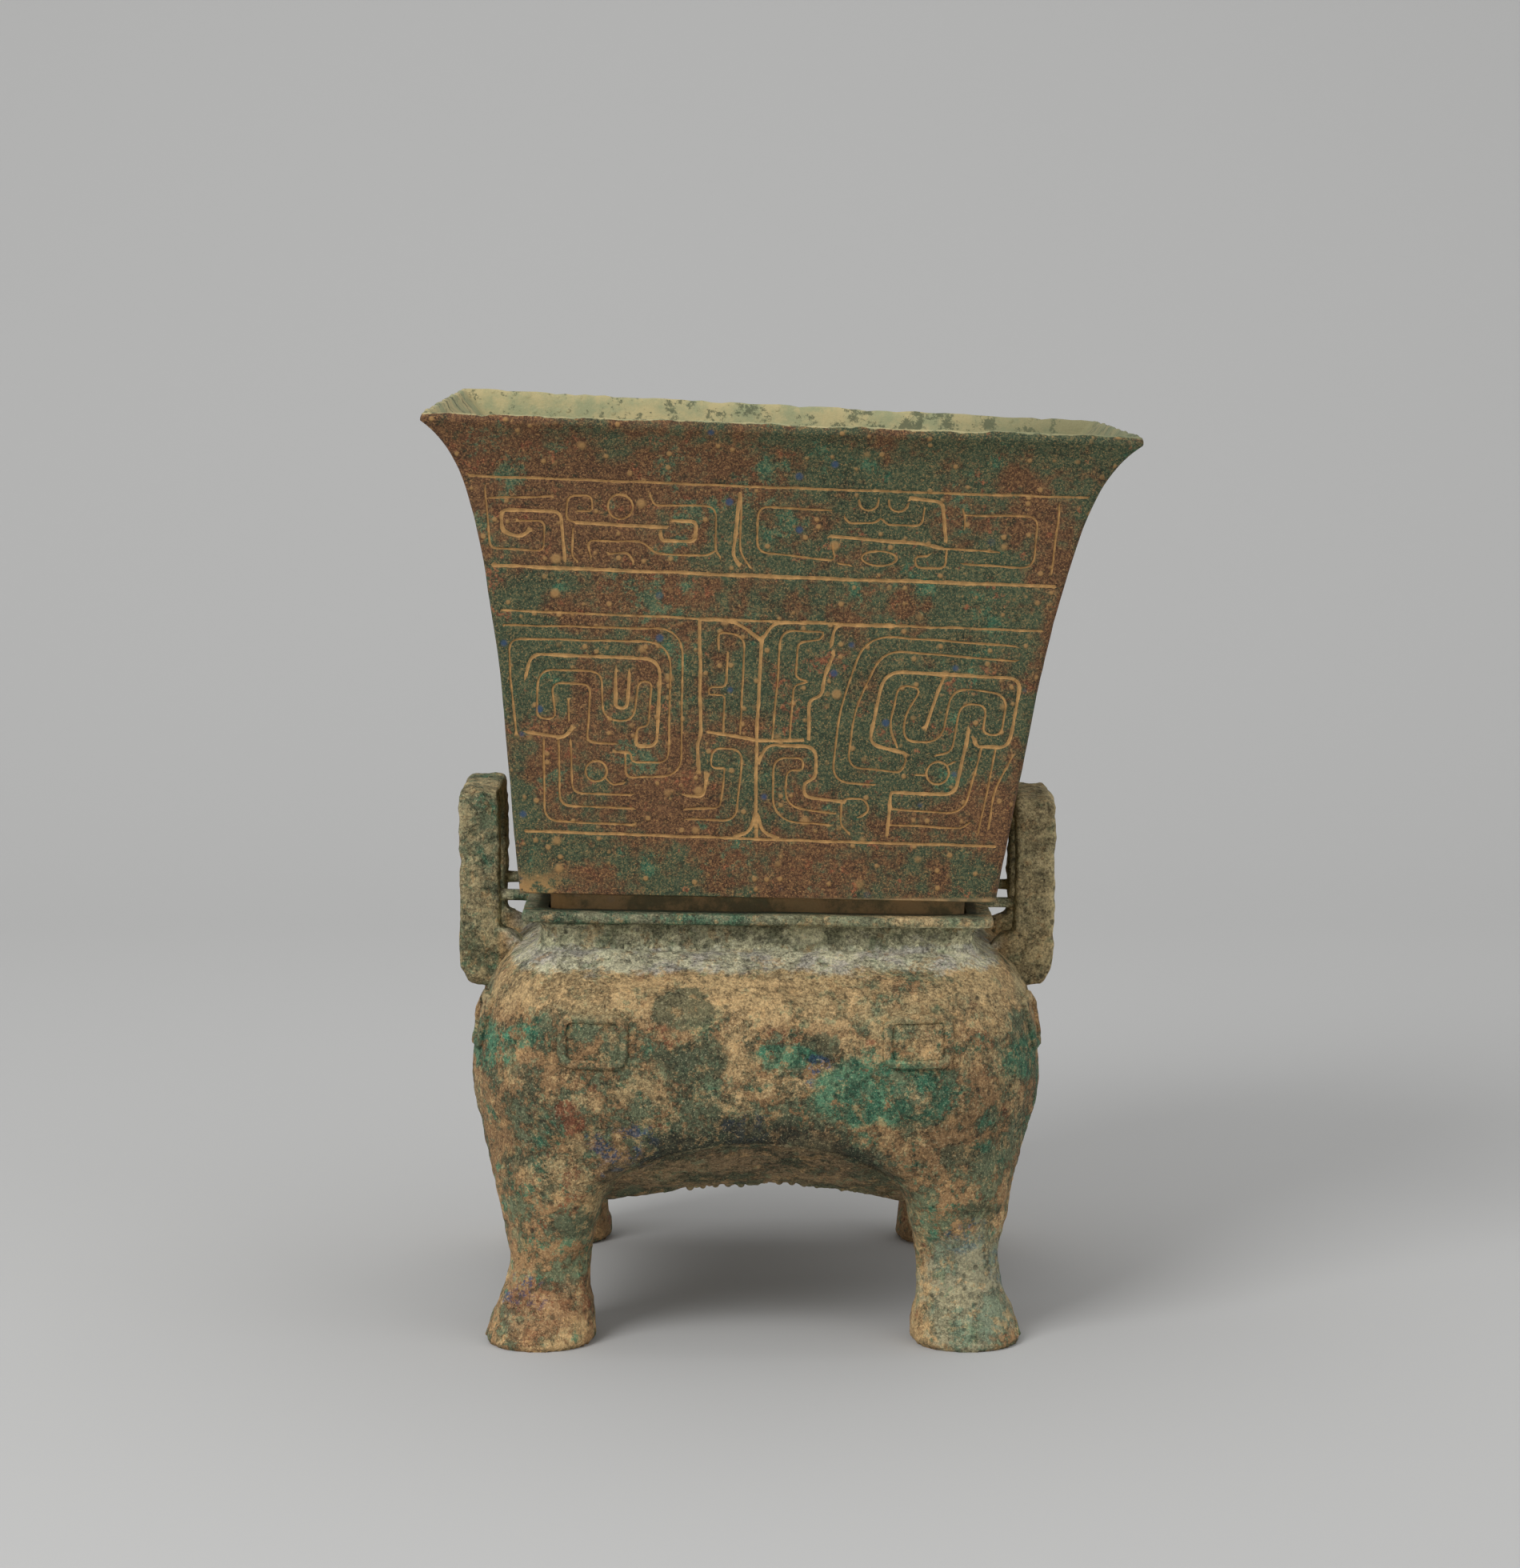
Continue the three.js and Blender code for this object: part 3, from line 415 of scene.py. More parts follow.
def right_dragon():
    """The right dragon of the main band, which is no mirror image of the left one."""
    thin = [
        [(18, 1.2), (7, 0.8, 2), (5.3, 6.5, 3), (5.1, 11.9, 1.4), (8.2, 12)],
        [(18.1, 2.3), (8.3, 1.9, 1.4), (6.4, 6.5, 3), (6.2, 10.7, 1), (10.2, 11, 0.7), (10.5, 10)],
        [(9.8, 9.1), (9.1, 7.5, 1), (9.6, 4.4, 1.3), (11.3, 4.6, 0.6), (10.2, 6.8, 0.8), (10.2, 8.6, 1.1),
         (13, 8.6, 1.3), (13.6, 4.4, 1.4), (17.7, 4.8, 1.2), (17.4, 7.9, 0.8), (16, 7.8, 0.5),
         (16.2, 5.7, 0.7), (14.3, 5.6, 1), (13.8, 9.3, 1.5), (12.6, 9.6)],
        [(16, 8.9), (15, 13.9, 1.3), (9.6, 13.8)],
        [(17.1, 8.8), (16.2, 15.3)],
        [(15.5, 14.6), (14.9, 15.1, 0.4), (9.5, 15)],
        [(18.3, 9.4), (17.1, 12.3, 1), (16.9, 15)],
        oval(12.9, 10.9, 0.85),
        [(12.1, 11.1), (11.3, 11.1)],
        [(13.5, 10.3), (14.1, 10)],
        [(7.3, 14.5), (8, 14, 0.4), (7.6, 13.1, 0.4), (5.9, 13.1, 0.6), (5.9, 15.2, 0.6), (6.6, 15.8)],
    ]
    broad = [
        [(4.5, 1.6), (4.7, 0.1, 1.2), (10, 0)],
        [(10.3, 9.5), (7.7, 8.9, 0.8), (8.5, 3.4, 1.5), (18.7, 3.6, 1.1), (18, 8.8, 0.8), (15.6, 8.8, 0.5),
         (15.4, 8.1)],
        [(12.9, 3.8), (12.4, 5.2, 0.5), (11.8, 7.5)],
        [(15, 7.6), (14.3, 12.5, 0.8), (9.5, 12.5), (9.4, 15.8)],
    ]
    return thin, broad


def top_band():
    """The two small dragons of the upper band."""
    thin = [
        [(-21.4, 1), (-20.9, 5.3, 0.5), (-17, 5.4, 0.4), (-17, 3.1, 0.6), (-19, 3.2)],
        [(-21.1, 1.6), (-16.5, 1.3)],
        [(-14.2, 2.3), (-13.5, 2.3, 0.3), (-13.6, 1.1, 0.5), (-15.4, 1.2, 0.6), (-15.4, 3, 0.8),
         (-14.6, 3.2)],
        oval(-11.5, 1.9, 0.92),
        [(-9.3, 1.1), (-9, 1.7, 0.3), (-4.5, 1.6, 0.8), (-4.4, 4.9, 0.3), (-4, 5.4)],
        [(-4.4, 4.9), (-5, 5.3, 0.4), (-8.8, 5.3, 0.7), (-9.7, 4.4, 0.6), (-13.8, 4.5, 0.5), (-13.5, 5.6)],
        [(-14.9, 3.7), (-14.9, 5.7, 0.4), (-14.4, 6.1)],
        [(-12.1, 5.4), (-10.8, 5.2, 0.4), (-10.3, 6)],
        [(-2.7, 0.7), (-2.6, 5, 1), (-1.7, 6.1)],
        [(3.9, 1.6), (-1.4, 1.5, 0.8), (-1.4, 4.9, 0.9), (4.4, 5.3, 0.4), (4.2, 4.3)],
        [(4.7, 5.5), (5.5, 5.6)],
        [(4.9, 2.1), (5.3, 2.5, 0.2), (7.2, 2.4, 0.2), (7.6, 2, 0.2), (8.1, 2.5, 0.2), (10.6, 2.5, 0.7),
         (10.7, 1.3)],
        [(12.3, 4.1), (16.3, 4.2)],
        oval(7.6, 5, 1.3, 0.55),
        [(11.1, 4.7), (10.2, 4.8, 0.3), (10.3, 5.6, 0.4), (12.5, 5.6, 0.5), (12.5, 4.2)],
        [(13.5, 1.2), (13.7, 1.7, 0.3), (13.7, 2.6)],
        [(13.7, 1.6), (19, 1.5, 0.8), (19, 5.3, 1), (13.8, 5.2)],
        [(20.5, 0.6), (20.5, 1.7, 1), (20.3, 5.6)],
    ]
    thin += [oval(u, 0.9, 0.7, 0.6, 0.5) for u in (6.6, 8.8)]
    broad = [
        [(-18.2, 4), (-18.7, 4.4, 0.3), (-20.1, 4.1, 0.6), (-20.2, 2.4, 0.5), (-15.8, 2.4, 0.7),
         (-15.4, 6.1)],
        [(-14.6, 3.2), (-7.9, 3.3)],
        [(-7.7, 2.8), (-5.9, 2.8, 0.4), (-5.9, 4.3, 0.4), (-8.4, 4.3, 0.3), (-8.5, 3.6)],
        [(-2.8, 0.7), (-3.1, 5.2, 0.6), (-2.6, 5.9)],
        [(4, 3.5), (7.5, 3.7, 1), (10.7, 3.8, 1), (12.2, 4.1)],
        [(9.7, 0.5), (12, 0.7, 0.5), (12.4, 3.4)],
    ]
    return thin, broad


def side_dragon(side):
    """A plainer coiled dragon for half of a narrow face."""
    thin = [[(side * (14 - k), 1 + k), (side * (1.5 + k), 1 + k, 1.8), (side * (1.5 + k), 11 - k, 1.5),
             (side * (8 - k), 11 - k)] for k in (0, 1.1, 2.2)]
    thin += [[(side * (13 - k), 12.4 + k), (side * (1.5 + k), 12.4 + k, 0.8), (side * (1.5 + k), 15.4)]
             for k in (0, 1.1)]
    thin.append(oval(side * 8.5, 5.6, 0.8))
    thin.append(flip([(13.6, 9.2), (13.4, 4.6, 1), (6, 4.4, 1.2), (6, 7.4, 1), (10.4, 7.6, 0.8),
                      (10.6, 9.4)], side))
    return thin


def face_strokes(face, scene):
    """Every sunk line of a face as (path in metres across and up, width, clay)."""
    ornament, steamer = scene.vessel_ornament, scene.vessel_steamer
    rim = steamer.ledge + steamer.height
    tops = {"top": rim - ornament.top_band, "main": rim - ornament.main_band}
    wide = face in (0, 2)
    strokes = []

    def put(lines, band, width, clay):
        for line in lines:
            path = rounded_path(line)
            place = np.stack([path[:, 0] * ornament.pitch, tops[band] - path[:, 1] * ornament.pitch], 1)
            strokes.append((place, width, clay))

    def facing(lines):
        return lines if face == 0 else [flip(line, -1) for line in lines]

    fine, broad = ornament.line, ornament.line * 1.6
    reach = {"top": 22.6 if wide else 17.6, "main": 20.2 if wide else 15.8}
    frame_lines = [("top", 0, 1.3, 0.66), ("top", 6.6, 1.8, 0.85), ("main", 0, 1.3, 0.66),
                   ("main", 16.4, 1.4, 0.85)]
    for band, down, weight, clay in frame_lines:
        end = reach[band] - down * 0.12
        put([[(-end, down), (0, down + 0.06, 3), (end, down)]], band, fine * weight, clay)
    if wide:
        figures = [(*figure, "main", 0.85) for figure in (left_dragon(), centre_stem(), right_dragon())]
        for thin_lines, broad_lines, band, clay in (*figures, (*top_band(), "top", 0.8)):
            put(facing(thin_lines), band, fine, clay)
            put(facing(broad_lines), band, broad, 1)
    else:
        for side in (-1, 1):
            put(side_dragon(side), "main", fine, 0.85)
            put([flip([(16, 1.4), (2, 1.4, 0.8), (2, 5.2, 0.8), (15, 5.2)], side),
                 flip([(13, 3.3), (5, 3.3)], side)], "top", fine, 0.8)
        put([[(0, 1), (0, 15.8)]], "main", broad, 1)
    return strokes


# The steamer box


# The lip's section from outside to inside: how far inside the mouth's size, and how far below the rim
LIP_SECTION = [(-0.0004, 0.0036), (-0.0003, 0.0022), (0.0004, 0.0006), (0.0014, 0.0002), (0.0026, 0.0007)]
LIP_WAVER = 0.0010
FLOOR_THICKNESS = 0.004
SLOTS_IN_ROW, SLOT_PITCH, SLOT_ROW = 6, 0.024, 0.030
SLOT_HALF_WIDTH, SLOT_HALF_LENGTH = 0.004, 0.026


def flare(share):
    return 0.5 * share + 0.3 * share**4 + 0.2 * np.abs(share) ** 20


def flare_slope(share):
    return 0.5 + 1.2 * share**3 + 4 * share**19


class BoxForm:
    """Sizes of the steamer at a share of its height, from 0 at the ledge to 1 under the lip."""

    def __init__(self, scene):
        self.s = scene.vessel_steamer
        self.rise = self.s.height - self.s.lip
        self.corner = (0.004, 0.0022)
        grain = scene.vessel_ornament.grain
        self.steps_across = round(self.s.base_width * 1.15 / grain)
        self.steps_deep = round(self.s.base_depth * 1.1 / grain)
        self.steps_corner = 4

    def sides(self, deep):
        """The full depth or width at the ledge and at the mouth."""
        if deep:
            return self.s.base_depth, self.s.mouth_depth
        return self.s.base_width, self.s.mouth_width

    def half(self, share, deep):
        low, high = self.sides(deep)
        return (low + (high - low) * flare(share)) / 2

    def radius(self, share):
        return self.corner[0] + (self.corner[1] - self.corner[0]) * share

    def level(self, share):
        return self.s.ledge + self.rise * share

    def share(self, z):
        return (z - self.s.ledge) / self.rise

    def steps(self, face):
        return self.steps_across if face % 2 == 0 else self.steps_deep

    def wall_lean(self, share, deep):
        low, high = self.sides(deep)
        return math.atan((high - low) / 2 * flare_slope(share) / self.rise)

    def ring(self, half_x, half_y, radius, z, ragged=0.0):
        """One level of the box with its cast unevenness, and a wavering height where it is ragged."""
        flat, normal = perimeter(half_x, half_y, radius, self.steps_across, self.steps_deep,
                                 self.steps_corner)
        base = np.column_stack([flat, np.full(len(flat), z)])
        lift = 0
        if ragged:
            lift = rough(base, 0.013, ragged, 3, 7.0) + rough(base, 0.004, ragged * 0.5, 2, 9.0)
        return np.column_stack([flat + normal * box_unevenness(base)[:, None], base[:, 2] + lift])

    def outer_ring(self, share):
        return self.ring(self.half(share, False), self.half(share, True), self.radius(share),
                         self.level(share))


def box_unevenness(points):
    """How far the cast wall of the box stands out or in at each point."""
    return rough(points, 0.05, 0.0005, 4) + rough(points, 0.009, 0.00016, 2, 3.0)


def on_face(face, across, out, z):
    turned = [(across, -out), (out, across), (-across, out), (-out, -across)][face]
    return np.stack([turned[0], turned[1], z], 1)


# Rows of points across a sunk line, as shares of its width, and how many half widths round a line
# are kept free of the plain wall's points
LINE_ROWS = (-0.95, -0.52, -0.2, 0.2, 0.52, 0.95)
LINE_CLEARANCE = 2.6


def hand_cut(path, width, seed):
    """A slightly wavering line with an uneven width, as a tool leaves in a mould."""
    length_so_far = np.concatenate([[0], np.cumsum(np.linalg.norm(np.diff(path, axis=0), axis=1))])
    spots = [Vector((s * 70, seed * 3.1, 0)) for s in length_so_far]
    wave = np.array([[noise.noise(p), noise.noise(p + Vector((0, 0, 9)))] for p in spots])
    widths = width * (1 + 0.42 * np.array([noise.noise(p * 3 + Vector((0, 5, 0))) for p in spots]))
    return path + wave * 0.0004, widths


def carve_face(face, form, scene, shell, shares):
    """Triangulates one face round its sunk lines and pushes the lines in."""
    ornament = scene.vessel_ornament
    steps = form.steps(face)
    deep = face in (0, 2)
    half_across = np.array([form.half(s, not deep) - form.radius(s) for s in shares])
    levels = form.level(shares)
    across = np.linspace(-1, 1, steps + 1)
    border = [(x * half_across[0], levels[0]) for x in across]
    border += [(half_across[k], levels[k]) for k in range(1, len(levels) - 1)]
    border += [(x * half_across[-1], levels[-1]) for x in across[::-1]]
    border += [(-half_across[k], levels[k]) for k in range(len(levels) - 2, 0, -1)]

    coords, edges = list(border), []
    centres, widths, clays = [], [], []
    for number, (path, width, clay) in enumerate(face_strokes(face, scene)):
        path, wide = hand_cut(path, width, ornament.seed + number + 50 * face)
        limit = np.interp(path[:, 1], levels, half_across) - 0.002
        path[:, 0] = np.clip(path[:, 0], -limit, limit)
        centres.append(path)
        widths.append(wide)
        clays.append(np.full(len(path), clay))
        sparse = path[::2] if len(path) > 8 else path
        sparse_wide = wide[::2] if len(path) > 8 else wide
        tangent = np.gradient(sparse, axis=0)
        tangent /= np.linalg.norm(tangent, axis=1, keepdims=True) + 1e-12
        normal = np.stack([-tangent[:, 1], tangent[:, 0]], 1)
        for offset in LINE_ROWS:
            line = sparse + normal * (sparse_wide * offset)[:, None]
            start = len(coords)
            coords += [tuple(p) for p in line]
            if abs(offset) < 0.9:
                edges += [(start + i, start + i + 1) for i in range(len(line) - 1)]
    centres, widths, clays = np.concatenate(centres), np.concatenate(widths), np.concatenate(clays)
    tree = kdtree.KDTree(len(centres))
    for i, (u, z) in enumerate(centres):
        tree.insert((u, z, 0), i)
    tree.balance()

    def near_line(u, z):
        best, clay = 9.0, 0.0
        for _, i, distance in tree.find_n((u, z, 0), 4):
            ratio = distance / (widths[i] / 2)
            if ratio < best:
                best, clay = ratio, clays[i]
        return best, clay

    for k in range(1, len(levels) - 1):
        for x in across[1:-1]:
            u = x * half_across[k]
            if near_line(u, levels[k])[0] > LINE_CLEARANCE:
                coords.append((u, levels[k]))
    loop = list(range(len(border)))
    flat, _, faces, *_ = geometry.delaunay_2d_cdt([Vector(c) for c in coords], edges, [loop], 1, 1e-6)
    flat = np.array([tuple(v) for v in flat])
    nearest = [near_line(u, z) for u, z in flat]
    ratio = np.array([n[0] for n in nearest])
    clay = np.array([n[1] for n in nearest]) * (1 - smoothstep(0.6, 1.15, ratio))
    sunk = ornament.depth * (1 - smoothstep(0.35, 1.05, ratio))
    share = form.share(flat[:, 1])
    out = np.array([form.half(s, deep) for s in share])
    base = on_face(face, flat[:, 0], out, flat[:, 1])
    wall = out + box_unevenness(base) - sunk
    shell.add(on_face(face, flat[:, 0], wall, flat[:, 1]), faces, clay)


def add_corners(form, skin, shell):
    """Joins the four faces with strips round the box's upright edges."""
    count, wide = len(skin[0]), form.steps_corner + 1
    per_face = [form.steps(face) + form.steps_corner for face in range(4)]
    starts = np.concatenate([[0], np.cumsum(per_face)])
    faces = [(r * wide + i, r * wide + i + 1, (r + 1) * wide + i + 1, (r + 1) * wide + i)
             for r in range(len(skin) - 1) for i in range(form.steps_corner)]
    for face in range(4):
        first = starts[face] + per_face[face] - form.steps_corner
        strip = [(first + i) % count for i in range(wide)]
        shell.add(np.concatenate([row[strip] for row in skin]), faces)


def add_inside(form, skin, shares, shell):
    """The lip, the inner walls and the floor's upper side."""
    steamer = form.s
    rim = steamer.ledge + steamer.height
    half_x, half_y, corner = steamer.mouth_width / 2, steamer.mouth_depth / 2, form.radius(1)
    rings = [skin[-1]]
    for inward, drop in LIP_SECTION:
        rings.append(form.ring(half_x - inward, half_y - inward, corner, rim - drop, LIP_WAVER))
    marks = [0.0] * 3 + [0.5, 0.9, 1.0]
    for s in shares[::-1][2::2]:
        lean_x, lean_y = form.wall_lean(s, False), form.wall_lean(s, True)
        inset_x, inset_y = steamer.wall * math.cos(lean_x), steamer.wall * math.cos(lean_y)
        z = form.level(s) + steamer.wall * min(math.sin(lean_x), math.sin(lean_y))
        if z > steamer.ledge + 2 * FLOOR_THICKNESS:
            rings.append(form.ring(form.half(s, False) - inset_x, form.half(s, True) - inset_y,
                                   form.radius(s) + 0.001, z))
            marks.append(1.0)
    floor = steamer.ledge + FLOOR_THICKNESS
    for inset, z in ((steamer.wall, floor + 0.002), (steamer.wall + 0.0015, floor)):
        rings.append(form.ring(steamer.base_width / 2 - inset, steamer.base_depth / 2 - inset, 0.005, z))
        marks.append(1.0)
    shell.loft(rings, 0.0, np.array(marks), cap_end=True)


def add_foot(form, skin, shell):
    """The underside at the ledge, and the foot that stands in the collar."""
    steamer = form.s
    base_x, base_y = steamer.base_width / 2, steamer.base_depth / 2
    foot_x, foot_y, low = steamer.foot_width / 2, steamer.foot_depth / 2, steamer.foot_bottom
    ledge, wall = steamer.ledge, steamer.wall
    rings = [skin[0],
             form.ring(base_x - 0.001, base_y - 0.001, 0.004, ledge - 0.0006),
             form.ring(foot_x + 0.004, foot_y + 0.004, 0.006, ledge - 0.0002),
             form.ring(foot_x, foot_y, 0.006, ledge - 0.003),
             form.ring(foot_x - 0.0003, foot_y - 0.0003, 0.006, low + 0.002),
             form.ring(foot_x - 0.001, foot_y - 0.001, 0.006, low + 0.0004),
             form.ring(foot_x - wall, foot_y - wall, 0.005, low + 0.0004),
             form.ring(foot_x - wall, foot_y - wall, 0.005, ledge)]
    shell.loft([r[::-1] for r in rings], 0.0, np.array([0, 0, 0, 0, 0, 0.5, 1, 1.0]), cap_end=True)


def floor_slots(steamer):
    """Cutters for the two rows of steam slots in the floor."""
    slots = Shell()
    for row in (-1, 1):
        for i in range(SLOTS_IN_ROW):
            x, y = (i - (SLOTS_IN_ROW - 1) / 2) * SLOT_PITCH, row * SLOT_ROW
            flat, _ = perimeter(SLOT_HALF_WIDTH, SLOT_HALF_LENGTH, 0.0035, 2, 6, 5)
            rings = [np.column_stack([flat + (x, y), np.full(len(flat), steamer.ledge + dz)])
                     for dz in (-0.012, 0.012)]
            slots.loft(rings, 0, np.array([1.0, 1.0]), cap_start=True, cap_end=True)
    return slots.to_object("floor_slots")


def build_steamer(context):
    scene = context.scene
    form = BoxForm(scene)
    shares = np.concatenate([np.linspace(0, 0.9, 46), 1 - 0.1 * (1 - np.linspace(0, 1, 12)[1:]) ** 1.4])
    shell = Shell()
    for face in range(4):
        carve_face(face, form, scene, shell, shares)
    skin = [form.outer_ring(s) for s in shares]
    add_corners(form, skin, shell)
    add_inside(form, skin, shares, shell)
    add_foot(form, skin, shell)
    piece = shell.to_object("bronze_steamer_box")
    combine(piece, floor_slots(scene.vessel_steamer), "DIFFERENCE")
    move_points(piece.data, lambda points: warp(points, context))
    smooth_shade(piece, math.radians(50))
    return piece


# The boiler


# A quarter of the body from the sole up, as shares of its height and half plan: the height, the
# outer side, the inner side towards the next leg, the outer corner's radius and the inner one's
QUARTER_FORM = np.array([
    (0, 0.95, 0.546, 0.19, 0.19),
    (0.08, 0.904, 0.56, 0.16, 0.16),
    (0.154, 0.868, 0.572, 0.14, 0.13),
    (0.229, 0.857, 0.565, 0.15, 0.13),
    (0.276, 0.872, 0.555, 0.19, 0.13),
    (0.33, 0.889, 0.54, 0.25, 0.12),
    (0.383, 0.905, 0.52, 0.31, 0.12),
    (0.447, 0.926, 0.455, 0.38, 0.12),
    (0.489, 0.944, 0.36, 0.42, 0.1),
    (0.52, 0.959, 0.26, 0.43, 0.08),
    (0.54, 0.967, 0.12, 0.44, 0.04),
    (0.548, 0.971, -0.02, 0.45, 0.02),
    (0.633, 1, -0.02, 0.5, 0.02),
    (0.734, 0.996, -0.02, 0.5, 0.02),
    (0.84, 0.974, -0.02, 0.47, 0.02),
    (0.91, 0.925, -0.02, 0.42, 0.02),
    (0.957, 0.868, -0.02, 0.3, 0.02),
    (1, 0.765, -0.02, 0.12, 0.02),
])
SHOULDER_EASE = 0.07
# The underside from its middle out to the ridge and up: half plan as a share, level above the
# ridge's crown, and how far a side drops towards its corners
VAULT_FORM = [(0.3, 0.006, 0.002), (0.64, 0, 0.017), (0.78, 0.012, 0.020), (0.94, 0.029, 0.040),
              (0.9, 0.051, 0.010)]
LOBE_OVERLAP = 0.003
SEAT_ABOVE_SHOULDER = 0.002
BORE_WALL = 0.005
ROD_RADIUS, ROD_SPREAD = 0.00275, 0.029
# The handles: how far their inner face stands inside the body's full width, the bar's width seen from
# the side, and half the loop's width
HANDLE_INSET, HANDLE_SIDE_BAR, HANDLE_HALF = 0.0105, 0.015, 0.036
# How far the eye rings' middles stand from the middle of a wide face and of a narrow one
EYE_SPREAD = (0.078, 0.0769)
EYE_HALF_WIDTH, EYE_HALF_HEIGHT, EYE_CORNER = 0.0165, 0.0125, 0.0065
# An eye ring's section: step outwards from the ring's outline, and rise above the skin
EYE_SECTION = [(0.0006, -0.002), (0.0003, 0.0010), (-0.0007, 0.0020), (-0.0024, 0.0021),
               (-0.0038, 0.0013), (-0.0044, -0.002)]


def form_at(share):
    """The body's outer side, inner side and two corner radii at a share of its height."""
    x, y = QUARTER_FORM[:, 0], QUARTER_FORM[:, 1:]
    slopes = np.gradient(y, x, axis=0)
    k = int(np.clip(np.searchsorted(x, share) - 1, 0, len(x) - 2))
    step = x[k + 1] - x[k]
    t = (share - x[k]) / step
    return ((2 * t**3 - 3 * t**2 + 1) * y[k] + (t**3 - 2 * t**2 + t) * step * slopes[k]
            + (3 * t**2 - 2 * t**3) * y[k + 1] + (t**3 - t**2) * step * slopes[k + 1])


def quarter_ring(boiler, share, side_x, side_y, inset, rise=0.0):
    outer, inner, outer_radius, inner_radius = form_at(share)
    half_x, half_y = boiler.width / 2, boiler.depth / 2
    near = [max(inner * half + inset, -LOBE_OVERLAP) if inner > 0 else -LOBE_OVERLAP
            for half in (half_x, half_y)]
    far = [outer * half_x - inset, (outer - SHOULDER_EASE * smoothstep(0.88, 1, share)) * half_y - inset]
    room = min(far[0] - near[0], far[1] - near[1]) * 0.98
    outer_corner = min(max(outer_radius * half_x - inset, 0.004), room * 0.64)
    inner_corner = min(max(inner_radius * half_x - inset / 2, 0.003), room - outer_corner, room / 2)
    corners = [(far[0], far[1], 1, 1, outer_corner), (near[0], far[1], -1, 1, inner_corner),
               (near[0], near[1], -1, -1, inner_corner), (far[0], near[1], 1, -1, inner_corner)]
    ring = []
    for number, (x, y, sx, sy, radius) in enumerate(corners):
        for i in range(11):
            angle = (number + i / 10) * math.pi / 2
            ring.append(((x - sx * radius + radius * math.cos(angle)) * side_x,
                         (y - sy * radius + radius * math.sin(angle)) * side_y,
                         share * boiler.height + rise))
    return np.array(ring if side_x * side_y > 0 else ring[::-1])


def level_ring(half_x, half_y, radius, z):
    flat, _ = perimeter(half_x, half_y, radius, 8, 8, 8)
    return np.column_stack([flat, np.full(len(flat), z)])


def vault(boiler, inset):
    """Rings of the arched underside between the legs."""
    angles = np.linspace(0, 2 * math.pi, 97)[:-1]
    c, s = np.cos(angles), np.sin(angles)
    reach = (c**4 + s**4) ** -0.25
    along = reach * np.minimum(abs(c), abs(s))
    steps = np.linspace(0, len(VAULT_FORM) - 1, 21)
    shares, above, drops = (np.interp(steps, range(len(VAULT_FORM)), row) for row in zip(*VAULT_FORM))
    return [np.column_stack([(boiler.width / 2 * share - inset) * reach * c,
                             (boiler.depth / 2 * share - inset) * reach * s,
                             boiler.vault + rise - drop * along**2 + inset])
            for share, rise, drop in zip(shares, above, drops)]


def body_solid(boiler, inset, name):
    """The body's outside for an inset of 0, and its hollow for an inset of the wall."""
    shell = Shell()
    shares = np.linspace(0.006, 1, 64) if inset == 0 else np.linspace(0.16, 1, 40)
    for side_x, side_y in ((1, 1), (-1, 1), (-1, -1), (1, -1)):
        rings = [quarter_ring(boiler, s, side_x, side_y, inset, inset * (1 - 2 * smoothstep(0.6, 0.9, s)))
                 for s in shares]
        if inset == 0:
            rings.insert(0, quarter_ring(boiler, 0.002, side_x, side_y, 0.002))
            rings.insert(0, quarter_ring(boiler, 0, side_x, side_y, 0.0035))
        else:
            floor = rings[0].copy()
            floor[:, 2] = boiler.hollow_bottom
            rings.insert(0, floor)
        shell.loft(rings, cap_start=True, cap_end=True)
    shell.loft(vault(boiler, inset), cap_start=True, cap_end=True)
    return shell.to_object(name, merge=1e-7)


def collar(boiler):
    """Neck and flange as one solid; the bore whose seat carries the steamer's foot is cut later with the
    hollow.
    """
    half_x, half_y = boiler.neck_width / 2, boiler.neck_depth / 2
    low, top = boiler.flange_bottom, boiler.flange_bottom + boiler.flange
    profile = [(0.006, boiler.height - 0.009, 0.02), (0.0035, boiler.height - 0.004, 0.014),
               (0.001, boiler.height, 0.011), (-0.0012, boiler.height + 0.004, 0.009),
               (-0.0016, boiler.height + 0.0075, 0.009), (-0.0008, low - 0.003, 0.009),
               (0.0006, low - 0.001, 0.008), (0.003, low - 0.0003, 0.007),
               (boiler.overhang - 0.001, low, 0.005), (boiler.overhang - 0.0002, low + 0.0008, 0.005),
               (boiler.overhang, low + 0.0022, 0.005), (boiler.overhang - 0.0004, top - 0.0006, 0.005),
               (boiler.overhang - 0.0012, top, 0.005)]
    shell = Shell()
    rings = []
    for grow, z, radius in profile:
        flat, normal = perimeter(half_x + grow, half_y + grow, radius, 60, 50, 6)
        base = np.column_stack([flat, np.full(len(flat), z)])
        push = rough(base, 0.03, 0.0004, 3) + rough(base, 0.006, 0.0002, 2, 4.0)
        on_flange = z > low - 0.0005
        lift = rough(base, 0.02, 0.0005, 3, 8.0) if on_flange else 0
        rings.append(np.column_stack([flat + normal * push[:, None], base[:, 2] + lift]))
    shell.loft(rings, cap_start=True, cap_end=True)
    return shell.to_object("collar")


def prism(name, outline, axis, low, high):
    """A flat outline in the XZ or YZ plane, pushed out along the third axis."""
    shell = Shell()
    across, up = np.array(outline, float).T
    rings = []
    for place in (low, high):
        third = np.full(len(up), place)
        rings.append(np.column_stack([across, third, up] if axis == "y" else [third, across, up]))
    shell.loft(rings, cap_start=True, cap_end=True)
    return shell.to_object(name, merge=1e-7)


